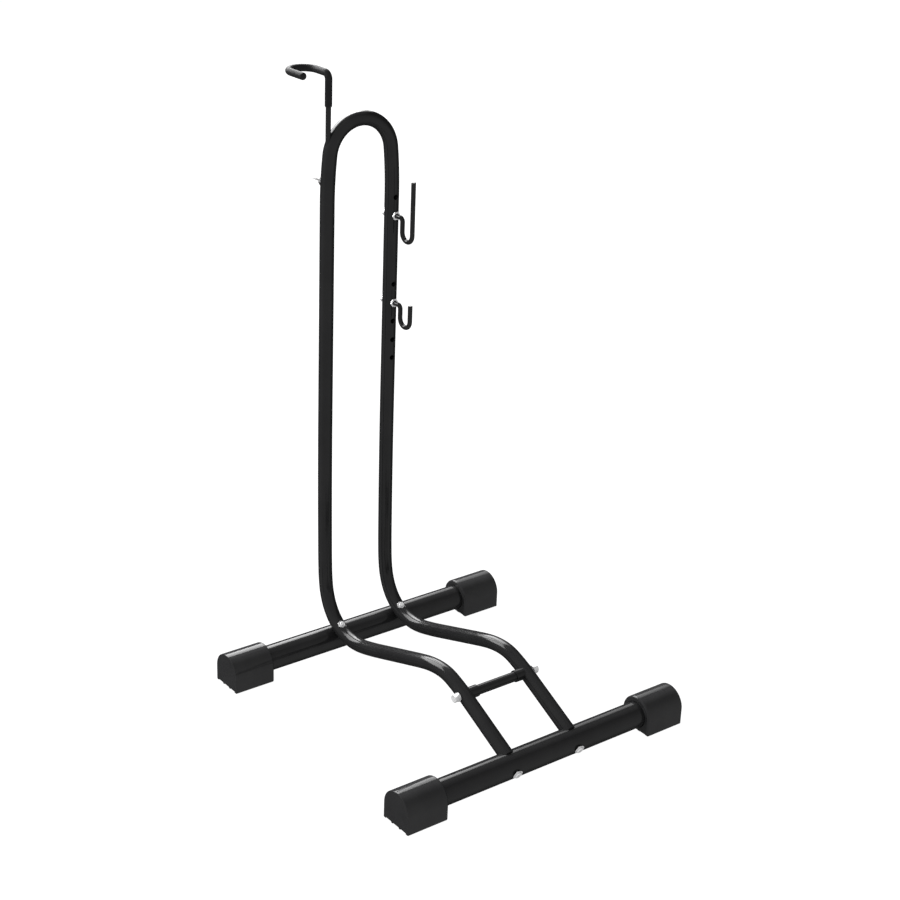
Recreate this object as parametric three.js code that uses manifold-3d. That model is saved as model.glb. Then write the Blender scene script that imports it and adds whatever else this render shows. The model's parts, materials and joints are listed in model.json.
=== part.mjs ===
// Floor bike rack: one bent tube (two uprights joined by an arch, running down into two legs)
// bolted over a rear rail and onto a front rail, four end caps to stand on, a crossbar between
// the legs, two side hooks and a sliding, swivelling top hook with its clamp screw.
// Millimetres, +Z up. +Y is the rear, where the uprights stand, and -Y is the low front rail.
// The origin is on the floor, in the middle of the object's box.
import * as THREE from "three";
import { mergeVertices } from "three/addons/utils/BufferGeometryUtils.js";
import Module from "manifold-3d";

const wasm = await Module();
wasm.setup();

// ---------------------------------------------------------------- driving dimensions
const GAP = 0.3; // between neighbouring solids
const FRONT_Y = -286.1; // axis of the front rail
const REAR_Y = FRONT_Y + 507.0; // axis of the rear rail
const RAIL_Z = 29.0; // height of both rail axes
const RAIL_R = 22.75;
const RAIL_WALL = 1.6;
const FOOT_END = 290.6; // outer face of the end caps
const FOOT_LENGTH = 78.7;
const FOOT_HALF = 32.4; // half the cap's width, and its arch radius
const FOOT_WALL = 5.0; // thickness of the closed end
const FOOT_EDGE = 3.6; // rounding of the cap's inner end
const FOOT_RECESS = 2.4; // depth of the grooves underneath

const TUBE_R = 12.5;
const TUBE_WALL = 1.5;
const LEG_X = 65.8; // half the spacing of the uprights and of the legs
const UPRIGHT_Y = 253.1;
const ARCH_START_Z = 830.5; // here the uprights begin to lean inwards
const ARCH_SIDE_R = 792.9;
const ARCH_LEAN = 0.10426; // radians, where the side arc meets the crown
const LEG_SLOPE = (25.9 * Math.PI) / 180; // of the front legs
const LEG_REF = [60.0 - 279.2, 73.7]; // a point on the front leg's axis, y and z

// Side profile of the bent tube's axis below the straight upright, y and z, top to bottom.
const PROFILE = [
  [532.3, 480],
  [532.2, 420],
  [531.8, 360],
  [531.0, 290],
  [530.0, 233],
  [528.5, 170],
  [526.5, 138],
  [521.8, 111.5],
  [512.2, 88.9],
  [498.6, 71.6],
  [481.4, 59.3],
  [462.0, 51.9],
  [438.0, 48.9],
  [415.0, 51.2],
  [381.0, 59.8],
  [328.0, 76.6],
  [280.0, 92.3],
  [230.0, 108.3],
  [212.0, 113.2],
  [193.0, 116.6],
  [174.5, 117.7],
  [160.0, 116.3],
  [146.0, 112.6],
].map(([y, z]) => [y - 279.2, z]);

const M8 = 4.0; // bolt radius
const NUT_AF = 13.0; // across flats
const HOLE_R = 4.5; // across the corners of a bolt hole
const REAR_BOLT_TILT = (55.4 * Math.PI) / 180; // of the rear bolts above the floor
const FRONT_BOLT_OFFSET = 6.3; // of the front bolts above the rail's axis

const CROSS_Y = 114.5 - 279.2;
const CROSS_R = 8.5;
const CROSS_SLEEVE_R = 10.3;
const CROSS_SLEEVE_IN = 40.0; // inner end of each sleeve

const HOOK_R = 4.1;
const HOOK_LEG_Y = 220.3;
const HOOK_BEND_R = 14.2;
const HOOK_HOLES = [827.5, 795.7, 673.2, 640.0, 605.8, 571.4, 538.0];
const UPPER_HOOK = { z: 795.7, bottom: 758.0, tip: 865.0 };
const LOWER_HOOK = { z: 640.0, bottom: 604.8, tip: 648.0 };

const ROD_X = -65.2;
const ROD_R = 4.5;
const ROD_LOW_Z = 770.0;
const ROD_TOP_Z = 1048.7;
const ROD_BEND = 10.0;
const ROD_REACH = 24.65;
const ROD_CURL = 24.45;
const ROD_RETURN = 37.1;
const SLEEVE_R = 6.3;
const SLEEVE_LOW_Z = 994.4;
const BUSH_R = 9.8;

const CLAMP_X = -65.2;
const CLAMP_Z = 867.0;
const CLAMP_R = 3.0;
const BOSS_OUT = 16.0; // outer face of the weld nut, from the tube's axis
const BOSS_AF = 15.0;
const WING_THICK = 3.0;

// ---------------------------------------------------------------- materials
const paint = (name, color, roughness, metalness) => {
  const m = new THREE.MeshStandardMaterial({ color, roughness, metalness });
  m.name = name;
  return m;
};
const MATERIAL = {
  black_paint: () => paint("black_paint", 0x1c1c1d, 0.35, 0.1),
  cap_plastic: () => paint("cap_plastic", 0x252526, 0.6, 0.0),
  zinc: () => paint("zinc", 0xb9bbbd, 0.35, 0.9),
  sleeve_vinyl: () => paint("sleeve_vinyl", 0x222223, 0.5, 0.0),
  nylon: () => paint("nylon", 0x303032, 0.6, 0.0),
  steel: () => paint("steel", 0x8d8f92, 0.45, 0.9),
};

// ---------------------------------------------------------------- solids
function solid(geometry) {
  const g = geometry.index ? geometry.toNonIndexed() : geometry;
  const bare = new THREE.BufferGeometry().setAttribute(
    "position",
    g.getAttribute("position"),
  );
  const merged = mergeVertices(bare, 1e-4);
  const src = merged.index.array;
  const tris = [];
  for (let i = 0; i < src.length; i += 3) {
    const a = src[i],
      b = src[i + 1],
      c = src[i + 2];
    if (a !== b && b !== c && c !== a) tris.push(a, b, c);
  }
  const build = (t) =>
    new wasm.Manifold(
      new wasm.Mesh({
        numProp: 3,
        vertProperties: merged.attributes.position.array,
        triVerts: new Uint32Array(t),
      }),
    );
  const made = build(tris);
  if (made.volume() >= 0) return made;
  for (let i = 0; i < tris.length; i += 3)
    [tris[i + 1], tris[i + 2]] = [tris[i + 2], tris[i + 1]];
  return build(tris);
}

function geometryOf(s) {
  const m = s.getMesh();
  const n = m.numProp;
  const v = new Float32Array(m.numVert * 3);
  for (let i = 0; i < m.numVert; i++)
    v.set(m.vertProperties.subarray(i * n, i * n + 3), i * 3);
  const g = new THREE.BufferGeometry()
    .setAttribute("position", new THREE.BufferAttribute(v, 3))
    .setIndex(new THREE.BufferAttribute(m.triVerts, 1))
    .toNonIndexed();
  g.computeVertexNormals();
  return g;
}

const V = (x, y, z) => new THREE.Vector3(x, y, z);
const ring = (r, n, turn = 0) =>
  Array.from({ length: n }, (_, i) => {
    const a = turn + (2 * Math.PI * i) / n;
    return new THREE.Vector2(r * Math.cos(a), r * Math.sin(a));
  });

// A prism of a flat outline from point a along direction d, its outline's x along side.
function prism(outline, a, d, length, side, hole) {
  const shape = new THREE.Shape(outline);
  if (hole) shape.holes.push(new THREE.Path(hole));
  const g = new THREE.ExtrudeGeometry(shape, {
    depth: length,
    bevelEnabled: false,
    steps: 1,
  });
  const z = d.clone().normalize();
  const x = side.clone().addScaledVector(z, -side.dot(z)).normalize();
  const y = z.clone().cross(x);
  g.applyMatrix4(new THREE.Matrix4().makeBasis(x, y, z).setPosition(a));
  return solid(g);
}
const sideOf = (d) => (Math.abs(d.x) > 0.9 ? V(0, 0, 1) : V(1, 0, 0));
const rod = (a, d, length, r, n = 16, turn = 0) =>
  prism(ring(r, n, turn), a, d, length, sideOf(d));
const pipe = (a, d, length, r, bore, n = 16, m = 12) =>
  prism(ring(r, n), a, d, length, sideOf(d), ring(bore, m));

// A turned body: pairs of radius and height along d, starting and ending on the axis.
function turned(profile, a, d, n = 20) {
  const g = new THREE.LatheGeometry(
    profile.map(([r, h]) => new THREE.Vector2(r, h)),
    n,
  );
  const y = d.clone().normalize();
  const side = sideOf(y);
  const x = side.clone().addScaledVector(y, -side.dot(y)).normalize();
  const z = x.clone().cross(y);
  g.applyMatrix4(new THREE.Matrix4().makeBasis(x, y, z).setPosition(a));
  return solid(g);
}

// A path given as points, swept with frames carried along without twisting.
class Route extends THREE.Curve {
  constructor(points) {
    super();
    this.points = points;
  }
  getPoint(t) {
    const k = t * (this.points.length - 1);
    const i = Math.min(this.points.length - 2, Math.floor(k));
    return this.points[i].clone().lerp(this.points[i + 1], k - i);
  }
  getSpacedPoints() {
    return this.points.map((p) => p.clone());
  }
  computeFrenetFrames() {
    const p = this.points;
    const tangents = p.map((q, i) => {
      const before = i > 0 ? q.clone().sub(p[i - 1]).normalize() : null;
      const after =
        i < p.length - 1 ? p[i + 1].clone().sub(q).normalize() : null;
      if (!before) return after;
      if (!after) return before;
      return before.add(after).normalize();
    });
    const first =
      Math.abs(tangents[0].x) < 0.9 ? V(1, 0, 0) : V(0, 0, 1);
    const normals = [
      first.addScaledVector(tangents[0], -first.dot(tangents[0])).normalize(),
    ];
    for (let i = 1; i < p.length; i++) {
      const n = normals[i - 1].clone();
      n.applyQuaternion(
        new THREE.Quaternion().setFromUnitVectors(tangents[i - 1], tangents[i]),
      );
      n.addScaledVector(tangents[i], -n.dot(tangents[i])).normalize();
      normals.push(n);
    }
    const binormals = tangents.map((t, i) => t.clone().cross(normals[i]));
    return { tangents, normals, binormals };
  }
}
function sweep(points, r, n, bore, m) {
  const shape = new THREE.Shape(ring(r, n, Math.PI / n));
  if (bore) shape.holes.push(new THREE.Path(ring(bore, m, Math.PI / m)));
  return solid(
    new THREE.ExtrudeGeometry(shape, {
      steps: points.length - 1,
      extrudePath: new Route(points),
      bevelEnabled: false,
    }),
  );
}
// Keeps only the points of a dense path that it needs to stay within a tolerance of it.
function thin(points, tolerance) {
  const keep = (from, to) => {
    const line = new THREE.Line3(points[from], points[to]);
    const foot = V(0, 0, 0);
    let worst = 0,
      at = -1;
    for (let i = from + 1; i < to; i++) {
      line.closestPointToPoint(points[i], true, foot);
      const d = foot.distanceTo(points[i]);
      if (d > worst) [worst, at] = [d, i];
    }
    return worst > tolerance ? [...keep(from, at), ...keep(at, to)] : [from];
  };
  return [...keep(0, points.length - 1), points.length - 1].map(
    (i) => points[i],
  );
}
const arc = (c, u, v, r, a0, a1, n) =>
  Array.from({ length: n + 1 }, (_, i) => {
    const a = a0 + ((a1 - a0) * i) / n;
    return c
      .clone()
      .addScaledVector(u, r * Math.cos(a))
      .addScaledVector(v, r * Math.sin(a));
  });

// A hexagon nut or head from a along d, with its corners turned off and a hole if asked.
function hexagon(a, d, length, across, bore, chamferBoth = true, turn = 0) {
  const corner = across / Math.sqrt(3);
  let s = prism(ring(corner, 6, turn), a, d, length, sideOf(d));
  const c = corner - across / 2 + 0.35;
  const cut = (from, dir) =>
    turned(
      [
        [corner - c, -0.5],
        [corner + 2, -0.5],
        [corner + 2, c * 0.62 + 1.2],
        [corner - c, -0.5],
      ],
      from,
      dir,
      12,
    );
  s = s.subtract(cut(a.clone().addScaledVector(d, length), d.clone().negate()));
  if (chamferBoth) s = s.subtract(cut(a.clone(), d.clone()));
  if (bore)
    s = s.subtract(
      rod(a.clone().addScaledVector(d, -1), d, length + 2, bore, 12),
    );
  return s;
}

// ---------------------------------------------------------------- the tube's axis
const archCentre = LEG_X - ARCH_SIDE_R; // x of the right side arc's centre
const sideEndX = archCentre + ARCH_SIDE_R * Math.cos(ARCH_LEAN);
const sideEndZ = ARCH_START_Z + ARCH_SIDE_R * Math.sin(ARCH_LEAN);
const CROWN_R = sideEndX / Math.cos(ARCH_LEAN);
const CROWN_Z = sideEndZ - CROWN_R * Math.sin(ARCH_LEAN);

const legPoint = (y) => LEG_REF[1] + (y - LEG_REF[0]) * Math.tan(LEG_SLOPE);
const legEndY = FRONT_Y - 14;
const flat = new THREE.CatmullRomCurve3(
  [
    ...PROFILE,
    ...[117, 95, 60, 26].map((y) => [y - 279.2, legPoint(y - 279.2)]),
    [legEndY, legPoint(legEndY)],
  ].map(([y, z]) => V(0, y, z)),
  false,
  "centripetal",
);
const profile = thin(flat.getPoints(1400), 0.25);
const onLeg = (side) => profile.map((p) => V(side * LEG_X, p.y, p.z));
const archRight = [
  V(LEG_X, UPRIGHT_Y, 700),
  ...arc(
    V(archCentre, UPRIGHT_Y, ARCH_START_Z),
    V(1, 0, 0),
    V(0, 0, 1),
    ARCH_SIDE_R,
    0,
    ARCH_LEAN,
    2,
  ),
];
const crown = arc(
  V(0, UPRIGHT_Y, CROWN_Z),
  V(1, 0, 0),
  V(0, 0, 1),
  CROWN_R,
  ARCH_LEAN,
  Math.PI - ARCH_LEAN,
  20,
).slice(1, -1);
const mirrored = (p) => V(-p.x, p.y, p.z);
const tubeAxis = [
  ...onLeg(1).reverse(),
  ...archRight,
  ...crown,
  ...archRight.map(mirrored).reverse(),
  ...onLeg(-1),
];

// Where the tube passes closest over the rear rail: the rear bolts go through here.
const railAxis = V(0, REAR_Y, RAIL_Z);
const dense = flat.getPoints(3000);
const nearest = dense.reduce((best, p) =>
  p.distanceTo(railAxis) < best.distanceTo(railAxis) ? p : best,
);
const OVER_RAIL = nearest.distanceTo(railAxis);
if (OVER_RAIL < RAIL_R + TUBE_R + GAP * 0.8)
  throw new Error("the tube runs into the rear rail: " + OVER_RAIL);
const rearUp = V(0, -Math.cos(REAR_BOLT_TILT), Math.sin(REAR_BOLT_TILT)); // from the rail to the tube
const legDown = V(0, -Math.cos(LEG_SLOPE), -Math.sin(LEG_SLOPE));
const legUp = legDown.clone().negate();
const legNormal = V(0, -Math.sin(LEG_SLOPE), Math.cos(LEG_SLOPE));
const CROSS_Z = legPoint(CROSS_Y);

const nodes = [];
const add = (name, s, material) => nodes.push([name, s, MATERIAL[material]()]);
const both = [
  ["left", -1],
  ["right", 1],
];

// ---------------------------------------------------------------- the bent tube
let frame = sweep(tubeAxis, TUBE_R, 18, TUBE_R - TUBE_WALL + 0.25, 10);
const frontRailRound = rod(
  V(-120, FRONT_Y, RAIL_Z),
  V(1, 0, 0),
  240,
  RAIL_R + GAP + 0.05,
  40,
);
frame = frame.subtract(frontRailRound);
// the ends stop over the top of the front rail
const frontCut = prism(
  [
    new THREE.Vector2(-60, -60),
    new THREE.Vector2(19.5, -60),
    new THREE.Vector2(19.5, 60),
    new THREE.Vector2(-60, 60),
  ],
  V(-120, FRONT_Y - 20, RAIL_Z),
  V(1, 0, 0),
  240,
  V(0, 1, 0),
);
frame = frame.subtract(frontCut);
for (const z of HOOK_HOLES)
  frame = frame.subtract(
    rod(V(LEG_X, UPRIGHT_Y - 20, z), V(0, 1, 0), 40, HOOK_R + GAP + 0.15, 12),
  );
for (const [, s] of both) {
  const at = V(s * LEG_X, REAR_Y, RAIL_Z);
  frame = frame.subtract(
    rod(at.clone().addScaledVector(rearUp, 20), rearUp, 18, HOLE_R, 10),
  );
  frame = frame.subtract(
    rod(
      at.clone().addScaledVector(rearUp, OVER_RAIL + 1),
      rearUp,
      20,
      NUT_AF / Math.sqrt(3) + 0.6,
      16,
    ),
  );
  frame = frame.subtract(
    rod(
      V(s * LEG_X - 20, CROSS_Y, CROSS_Z),
      V(1, 0, 0),
      40,
      HOLE_R,
      10,
    ),
  );
}
frame = frame.subtract(
  rod(V(ROD_X, UPRIGHT_Y, 918), V(0, 0, 1), 50, ROD_R + 0.5, 14),
);
frame = frame.subtract(
  rod(V(CLAMP_X, UPRIGHT_Y + 3, CLAMP_Z), V(0, 1, 0), 20, CLAMP_R + 0.5, 10),
);
add("u_frame", frame, "black_paint");

// ---------------------------------------------------------------- rails and end caps
const railEnd = FOOT_END - FOOT_WALL - GAP;
const rail = (y) =>
  pipe(
    V(-railEnd, y, RAIL_Z),
    V(1, 0, 0),
    2 * railEnd,
    RAIL_R,
    RAIL_R - RAIL_WALL,
    28,
    16,
  );
let rearRail = rail(REAR_Y);
let frontRail = rail(FRONT_Y);
for (const [, s] of both) {
  rearRail = rearRail.subtract(
    rod(
      V(s * LEG_X, REAR_Y, RAIL_Z).addScaledVector(rearUp, -30),
      rearUp,
      60,
      HOLE_R,
      10,
    ),
  );
  frontRail = frontRail.subtract(
    rod(
      V(s * LEG_X, FRONT_Y, RAIL_Z)
        .addScaledVector(legNormal, FRONT_BOLT_OFFSET)
        .addScaledVector(legUp, -30),
      legUp,
      60,
      HOLE_R,
      10,
    ),
  );
}
add("rear_rail", rearRail, "black_paint");
add("front_rail", frontRail, "black_paint");

function footCap(y, s) {
  const w = FOOT_HALF;
  const outline = [new THREE.Vector2(-w, -RAIL_Z), new THREE.Vector2(w, -RAIL_Z)];
  for (let i = 0; i <= 14; i++) {
    const a = (Math.PI * i) / 14;
    outline.push(new THREE.Vector2(w * Math.cos(a), w * Math.sin(a)));
  }
  const shape = new THREE.Shape(outline);
  const depth = FOOT_LENGTH - FOOT_EDGE + FOOT_EDGE * 0.75 - FOOT_EDGE;
  const g = new THREE.ExtrudeGeometry(shape, {
    depth,
    bevelEnabled: true,
    bevelThickness: FOOT_EDGE,
    bevelSize: FOOT_EDGE,
    bevelOffset: -FOOT_EDGE,
    bevelSegments: 2,
    steps: 1,
    curveSegments: 1,
  });
  // outline x to Y, outline y to Z, depth towards the closed end
  g.applyMatrix4(
    new THREE.Matrix4()
      .makeBasis(V(0, 1, 0), V(0, 0, 1), V(1, 0, 0))
      .setPosition(FOOT_END - FOOT_LENGTH + FOOT_EDGE, y, RAIL_Z),
  );
  let cap = solid(g);
  // the closed end is flat, with only a slight edge left
  cap = cap.subtract(
    prism(ring(80, 4), V(FOOT_END, y, RAIL_Z), V(1, 0, 0), 30, V(0, 1, 0)),
  );
  cap = cap.subtract(
    rod(
      V(FOOT_END - FOOT_LENGTH - 5, y, RAIL_Z),
      V(1, 0, 0),
      FOOT_LENGTH - FOOT_WALL + 5,
      RAIL_R + GAP + 0.2,
      28,
    ),
  );
  // three shallow grooves leave two narrow ribs and two flat edges to stand on
  for (const [a, b] of [
    [-27, -11.5],
    [-8.5, 8.5],
    [11.5, 27],
  ])
    cap = cap.subtract(
      prism(
        [
          new THREE.Vector2(a, -5),
          new THREE.Vector2(b, -5),
          new THREE.Vector2(b - 0.6, FOOT_RECESS),
          new THREE.Vector2(a + 0.6, FOOT_RECESS),
        ],
        V(FOOT_END - FOOT_LENGTH - 5, y, 0),
        V(1, 0, 0),
        FOOT_LENGTH + 10,
        V(0, 1, 0),
      ),
    );
  if (s < 0)
    cap = cap.mirror([1, 0, 0]);
  return cap;
}
for (const [side, s] of both) {
  add("foot_cap_rear_" + side, footCap(REAR_Y, s), "cap_plastic");
  add("foot_cap_front_" + side, footCap(FRONT_Y, s), "cap_plastic");
}

// ---------------------------------------------------------------- rear joints
for (const [side, s] of both) {
  const at = V(s * LEG_X, REAR_Y, RAIL_Z);
  const along = (d) => at.clone().addScaledVector(rearUp, d);
  const tip = OVER_RAIL + 13.0 + RAIL_R + GAP + 3.9; // the whole length of the bolt
  const bolt = turned(
    [
      [0, 0],
      [4.2, 0.05],
      [6.4, 1.5],
      [7.0, 3.0],
      [7.0, 3.9],
      [M8, 3.9],
      [M8, tip - 0.8],
      [M8 - 0.8, tip],
      [0, tip],
    ],
    along(-(RAIL_R + GAP + 3.9)),
    rearUp,
    16,
  );
  add("rear_bolt_" + side, bolt, "zinc");
  add(
    "rear_spacer_" + side,
    pipe(along(OVER_RAIL - 7.6), rearUp, 11.9, 7.1, HOLE_R, 14, 10),
    "steel",
  );
  add(
    "rear_nut_" + side,
    hexagon(
      along(OVER_RAIL + 4.6),
      rearUp,
      6.5,
      NUT_AF,
      M8 + GAP,
      true,
      Math.PI / 6 + 0.06 * s,
    ),
    "zinc",
  );
}

// ---------------------------------------------------------------- front joints
for (const [side, s] of both) {
  const at = V(s * LEG_X, FRONT_Y, RAIL_Z).addScaledVector(
    legNormal,
    FRONT_BOLT_OFFSET,
  );
  const along = (d) => at.clone().addScaledVector(legUp, d);
  add(
    "front_washer_" + side,
    pipe(along(-(RAIL_R + GAP + 1.5)), legUp, 1.5, 8.7, HOLE_R, 20, 10),
    "zinc",
  );
  let bolt = turned(
    [
      [0, 0],
      [5.0, 0.0],
      [6.4, 0.6],
      [7.0, 1.5],
      [7.0, 2.2],
      [M8, 2.2],
      [M8, 70.8],
      [M8 - 0.8, 71.6],
      [0, 71.6],
    ],
    along(-(RAIL_R + 2 * GAP + 1.5 + 2.2)),
    legUp,
    16,
  );
  bolt = bolt.subtract(
    prism(
      ring(5 / Math.sqrt(3), 6),
      along(-(RAIL_R + 2 * GAP + 1.5 + 2.2) - 1),
      legUp,
      3.2,
      V(1, 0, 0),
    ),
  );
  add("front_bolt_" + side, bolt, "zinc");
  // threaded plug in the end of the leg, shaped to the rail like the leg itself
  const endOn = V(s * LEG_X, LEG_REF[0], LEG_REF[1]);
  let plug = rod(
    endOn.clone().addScaledVector(legDown, 24),
    legDown,
    60,
    TUBE_R - TUBE_WALL - GAP - 0.1,
    18,
    Math.PI / 18,
  );
  plug = plug.subtract(frontRailRound).subtract(frontCut);
  plug = plug.subtract(rod(along(0), legUp, 90, HOLE_R, 10));
  add("leg_plug_" + side, plug, "black_paint");
}

// ---------------------------------------------------------------- crossbar
const legRound = (s) =>
  rod(
    V(s * LEG_X, CROSS_Y, CROSS_Z).addScaledVector(legUp, -40),
    legUp,
    80,
    TUBE_R + GAP,
    28,
  );
let crossTube = pipe(
  V(-60, CROSS_Y, CROSS_Z),
  V(1, 0, 0),
  120,
  CROSS_R,
  CROSS_R - 1.5,
  18,
  12,
);
for (const [, s] of both) crossTube = crossTube.subtract(legRound(s));
crossTube = crossTube.decompose().sort((a, b) => b.volume() - a.volume())[0];
add("crossbar_tube", crossTube, "black_paint");
for (const [side, s] of both) {
  const x = (d) => V(s * d, CROSS_Y, CROSS_Z);
  const out = V(s, 0, 0);
  let sleeve = pipe(
    x(CROSS_SLEEVE_IN),
    out,
    20,
    CROSS_SLEEVE_R,
    CROSS_R + GAP + 0.1,
    20,
    18,
  );
  sleeve = sleeve.subtract(legRound(s));
  sleeve = sleeve.decompose().sort((a, b) => b.volume() - a.volume())[0];
  add("crossbar_sleeve_" + side, sleeve, "black_paint");
  add(
    "crossbar_plug_" + side,
    pipe(x(38), out, 14.4, CROSS_R - 1.5 - GAP, HOLE_R, 14, 10),
    "steel",
  );
  add(
    "crossbar_washer_" + side,
    pipe(x(LEG_X + TUBE_R + GAP), out, 1.5, 8.0, HOLE_R, 20, 10),
    "zinc",
  );
  // split lock washer under the head
  const lockAt = LEG_X + TUBE_R + 2 * GAP + 1.5;
  let lock = pipe(x(lockAt), out, 2.2, 7.2, HOLE_R, 20, 10);
  lock = lock.subtract(
    prism(
      [
        new THREE.Vector2(-0.5, 3),
        new THREE.Vector2(0.5, 3),
        new THREE.Vector2(0.5, 9),
        new THREE.Vector2(-0.5, 9),
      ],
      x(lockAt - 1),
      out,
      5,
      V(0, -0.4 * s, 1),
    ),
  );
  add("crossbar_lock_washer_" + side, lock, "zinc");
  const headAt = lockAt + 2.2 + GAP;
  let bolt = hexagon(x(headAt), out, 5.8, NUT_AF, 0, false, 0.35);
  bolt = bolt.add(rod(x(36), out, headAt + 1 - 36, M8, 16));
  add("crossbar_bolt_" + side, bolt, "zinc");
}

// ---------------------------------------------------------------- side hooks
function sideHook({ z, bottom, tip }) {
  const x = LEG_X;
  const bend = 6.5;
  const farY = HOOK_LEG_Y - 2 * HOOK_BEND_R;
  const p = [
    V(x, UPRIGHT_Y + TUBE_R + 8.6, z),
    V(x, UPRIGHT_Y - TUBE_R, z),
    ...arc(
      V(x, HOOK_LEG_Y + bend, z - bend),
      V(0, 0, 1),
      V(0, -1, 0),
      bend,
      0,
      Math.PI / 2,
      5,
    ),
    ...arc(
      V(x, HOOK_LEG_Y - HOOK_BEND_R, bottom + HOOK_BEND_R),
      V(0, 1, 0),
      V(0, 0, -1),
      HOOK_BEND_R,
      0,
      Math.PI,
      11,
    ),
    V(x, farY, tip - 0.8),
  ];
  let s = sweep(p, HOOK_R, 12);
  s = s.add(
    turned(
      [
        [0, 0],
        [HOOK_R * 0.96, 0],
        [HOOK_R * 0.8, 1.3],
        [0, 1.3],
      ],
      V(x, farY, tip - 1.3),
      V(0, 0, 1),
      12,
    ),
  );
  return s;
}
for (const [name, h] of [
  ["upper", UPPER_HOOK],
  ["lower", LOWER_HOOK],
]) {
  add("side_hook_" + name, sideHook(h), "black_paint");
  add(
    "side_hook_nut_front_" + name,
    hexagon(
      V(LEG_X, UPRIGHT_Y - TUBE_R - GAP, h.z),
      V(0, -1, 0),
      4.0,
      NUT_AF,
      HOOK_R + GAP,
    ),
    "zinc",
  );
  add(
    "side_hook_nut_rear_" + name,
    hexagon(
      V(LEG_X, UPRIGHT_Y + TUBE_R + GAP, h.z),
      V(0, 1, 0),
      6.0,
      NUT_AF,
      HOOK_R + GAP,
    ),
    "zinc",
  );
}

// ---------------------------------------------------------------- top hook
const rodPath = (low, ret) => {
  const start = V(ROD_X, UPRIGHT_Y, low);
  const bendC = V(ROD_X, UPRIGHT_Y + ROD_BEND, ROD_TOP_Z - ROD_BEND);
  const curlC = V(
    ROD_X - ROD_CURL,
    UPRIGHT_Y + ROD_BEND + ROD_REACH,
    ROD_TOP_Z,
  );
  return [
    start,
    ...arc(bendC, V(0, -1, 0), V(0, 0, 1), ROD_BEND, 0, Math.PI / 2, 6),
    ...arc(curlC, V(1, 0, 0), V(0, 1, 0), ROD_CURL, 0, Math.PI, 14),
    V(ROD_X - 2 * ROD_CURL, curlC.y - ret, ROD_TOP_Z),
  ];
};
add(
  "top_hook_rod",
  sweep(rodPath(ROD_LOW_Z, ROD_RETURN - 6), ROD_R, 12),
  "black_paint",
);
let sleeve = sweep(
  rodPath(SLEEVE_LOW_Z + 2, ROD_RETURN - 2.2),
  SLEEVE_R,
  14,
);
sleeve = sleeve.add(
  turned(
    [
      [0, 0],
      [SLEEVE_R - 1.2, 0],
      [SLEEVE_R * 0.99, 2.2],
      [0, 2.2],
    ],
    V(ROD_X, UPRIGHT_Y, SLEEVE_LOW_Z),
    V(0, 0, 1),
    14,
  ),
);
const tipY = UPRIGHT_Y + ROD_BEND + ROD_REACH - ROD_RETURN;
sleeve = sleeve.add(
  turned(
    [
      [0, 0],
      [SLEEVE_R * 0.99, 0],
      [SLEEVE_R * 0.93, 1.2],
      [SLEEVE_R * 0.66, 2.1],
      [0, 2.5],
    ],
    V(ROD_X - 2 * ROD_CURL, tipY + 2.3, ROD_TOP_Z),
    V(0, -1, 0),
    14,
  ),
);
sleeve = sleeve.subtract(
  sweep(rodPath(SLEEVE_LOW_Z - 4, ROD_RETURN - 5.4), ROD_R + GAP + 0.1, 10),
);
sleeve = sleeve.decompose().sort((a, b) => b.volume() - a.volume())[0];
add("top_hook_sleeve", sleeve, "sleeve_vinyl");
// guide bush at the foot of the rod, held between two push-on clips
add(
  "rod_guide_bush",
  pipe(V(ROD_X, UPRIGHT_Y, 776), V(0, 0, 1), 20, BUSH_R, ROD_R + GAP + 0.1, 20, 12),
  "nylon",
);
for (const [name, z] of [
  ["lower", 773.9],
  ["upper", 796.3],
])
  add(
    "rod_clip_" + name,
    pipe(V(ROD_X, UPRIGHT_Y, z), V(0, 0, 1), 1.8, 8.0, ROD_R + GAP + 0.1, 14, 10),
    "steel",
  );

// ---------------------------------------------------------------- clamp
const uprightRound = sweep(
  archRight.map(mirrored),
  TUBE_R + GAP,
  32,
);
let boss = hexagon(
  V(CLAMP_X, UPRIGHT_Y + TUBE_R - 3, CLAMP_Z),
  V(0, 1, 0),
  BOSS_OUT - TUBE_R + 3,
  BOSS_AF,
  CLAMP_R + GAP,
  false,
  0,
);
boss = boss.subtract(uprightRound);
boss = boss.decompose().sort((a, b) => b.volume() - a.volume())[0];
add("clamp_boss", boss, "black_paint");
const padY = UPRIGHT_Y + ROD_R + GAP;
add(
  "clamp_pad",
  rod(V(CLAMP_X, padY, CLAMP_Z), V(0, 1, 0), 1.9, 2.6, 14),
  "nylon",
);
const hubY = UPRIGHT_Y + BOSS_OUT + GAP;
let screw = turned(
  [
    [0, 0],
    [CLAMP_R - 0.6, 0],
    [CLAMP_R, 0.6],
    [CLAMP_R, hubY - padY - 1.9 - GAP],
    [4.7, hubY - padY - 1.9 - GAP],
    [4.2, hubY - padY - 1.9 - GAP + 5.5],
    [0, hubY - padY - 1.9 - GAP + 5.5],
  ],
  V(CLAMP_X, padY + 1.9 + GAP, CLAMP_Z),
  V(0, 1, 0),
  16,
);
const wing = [
  [-3.6, 0.6],
  [3.6, 0.6],
  [7.8, 4.8],
  [10.0, 9.4],
  [10.4, 14.8],
  [9.0, 17.2],
  [6.6, 15.6],
  [4.8, 9.6],
  [2.6, 6.4],
  [-2.6, 6.4],
  [-4.8, 9.6],
  [-6.6, 15.6],
  [-9.0, 17.2],
  [-10.4, 14.8],
  [-10.0, 9.4],
  [-7.8, 4.8],
].map(([a, b]) => new THREE.Vector2(a, b));
const wingSide = V(-0.93, 0, 0.367).normalize(); // radial direction of a wing
const wingFlat = wingSide.clone().cross(V(0, 1, 0)); // across its thickness
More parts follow.
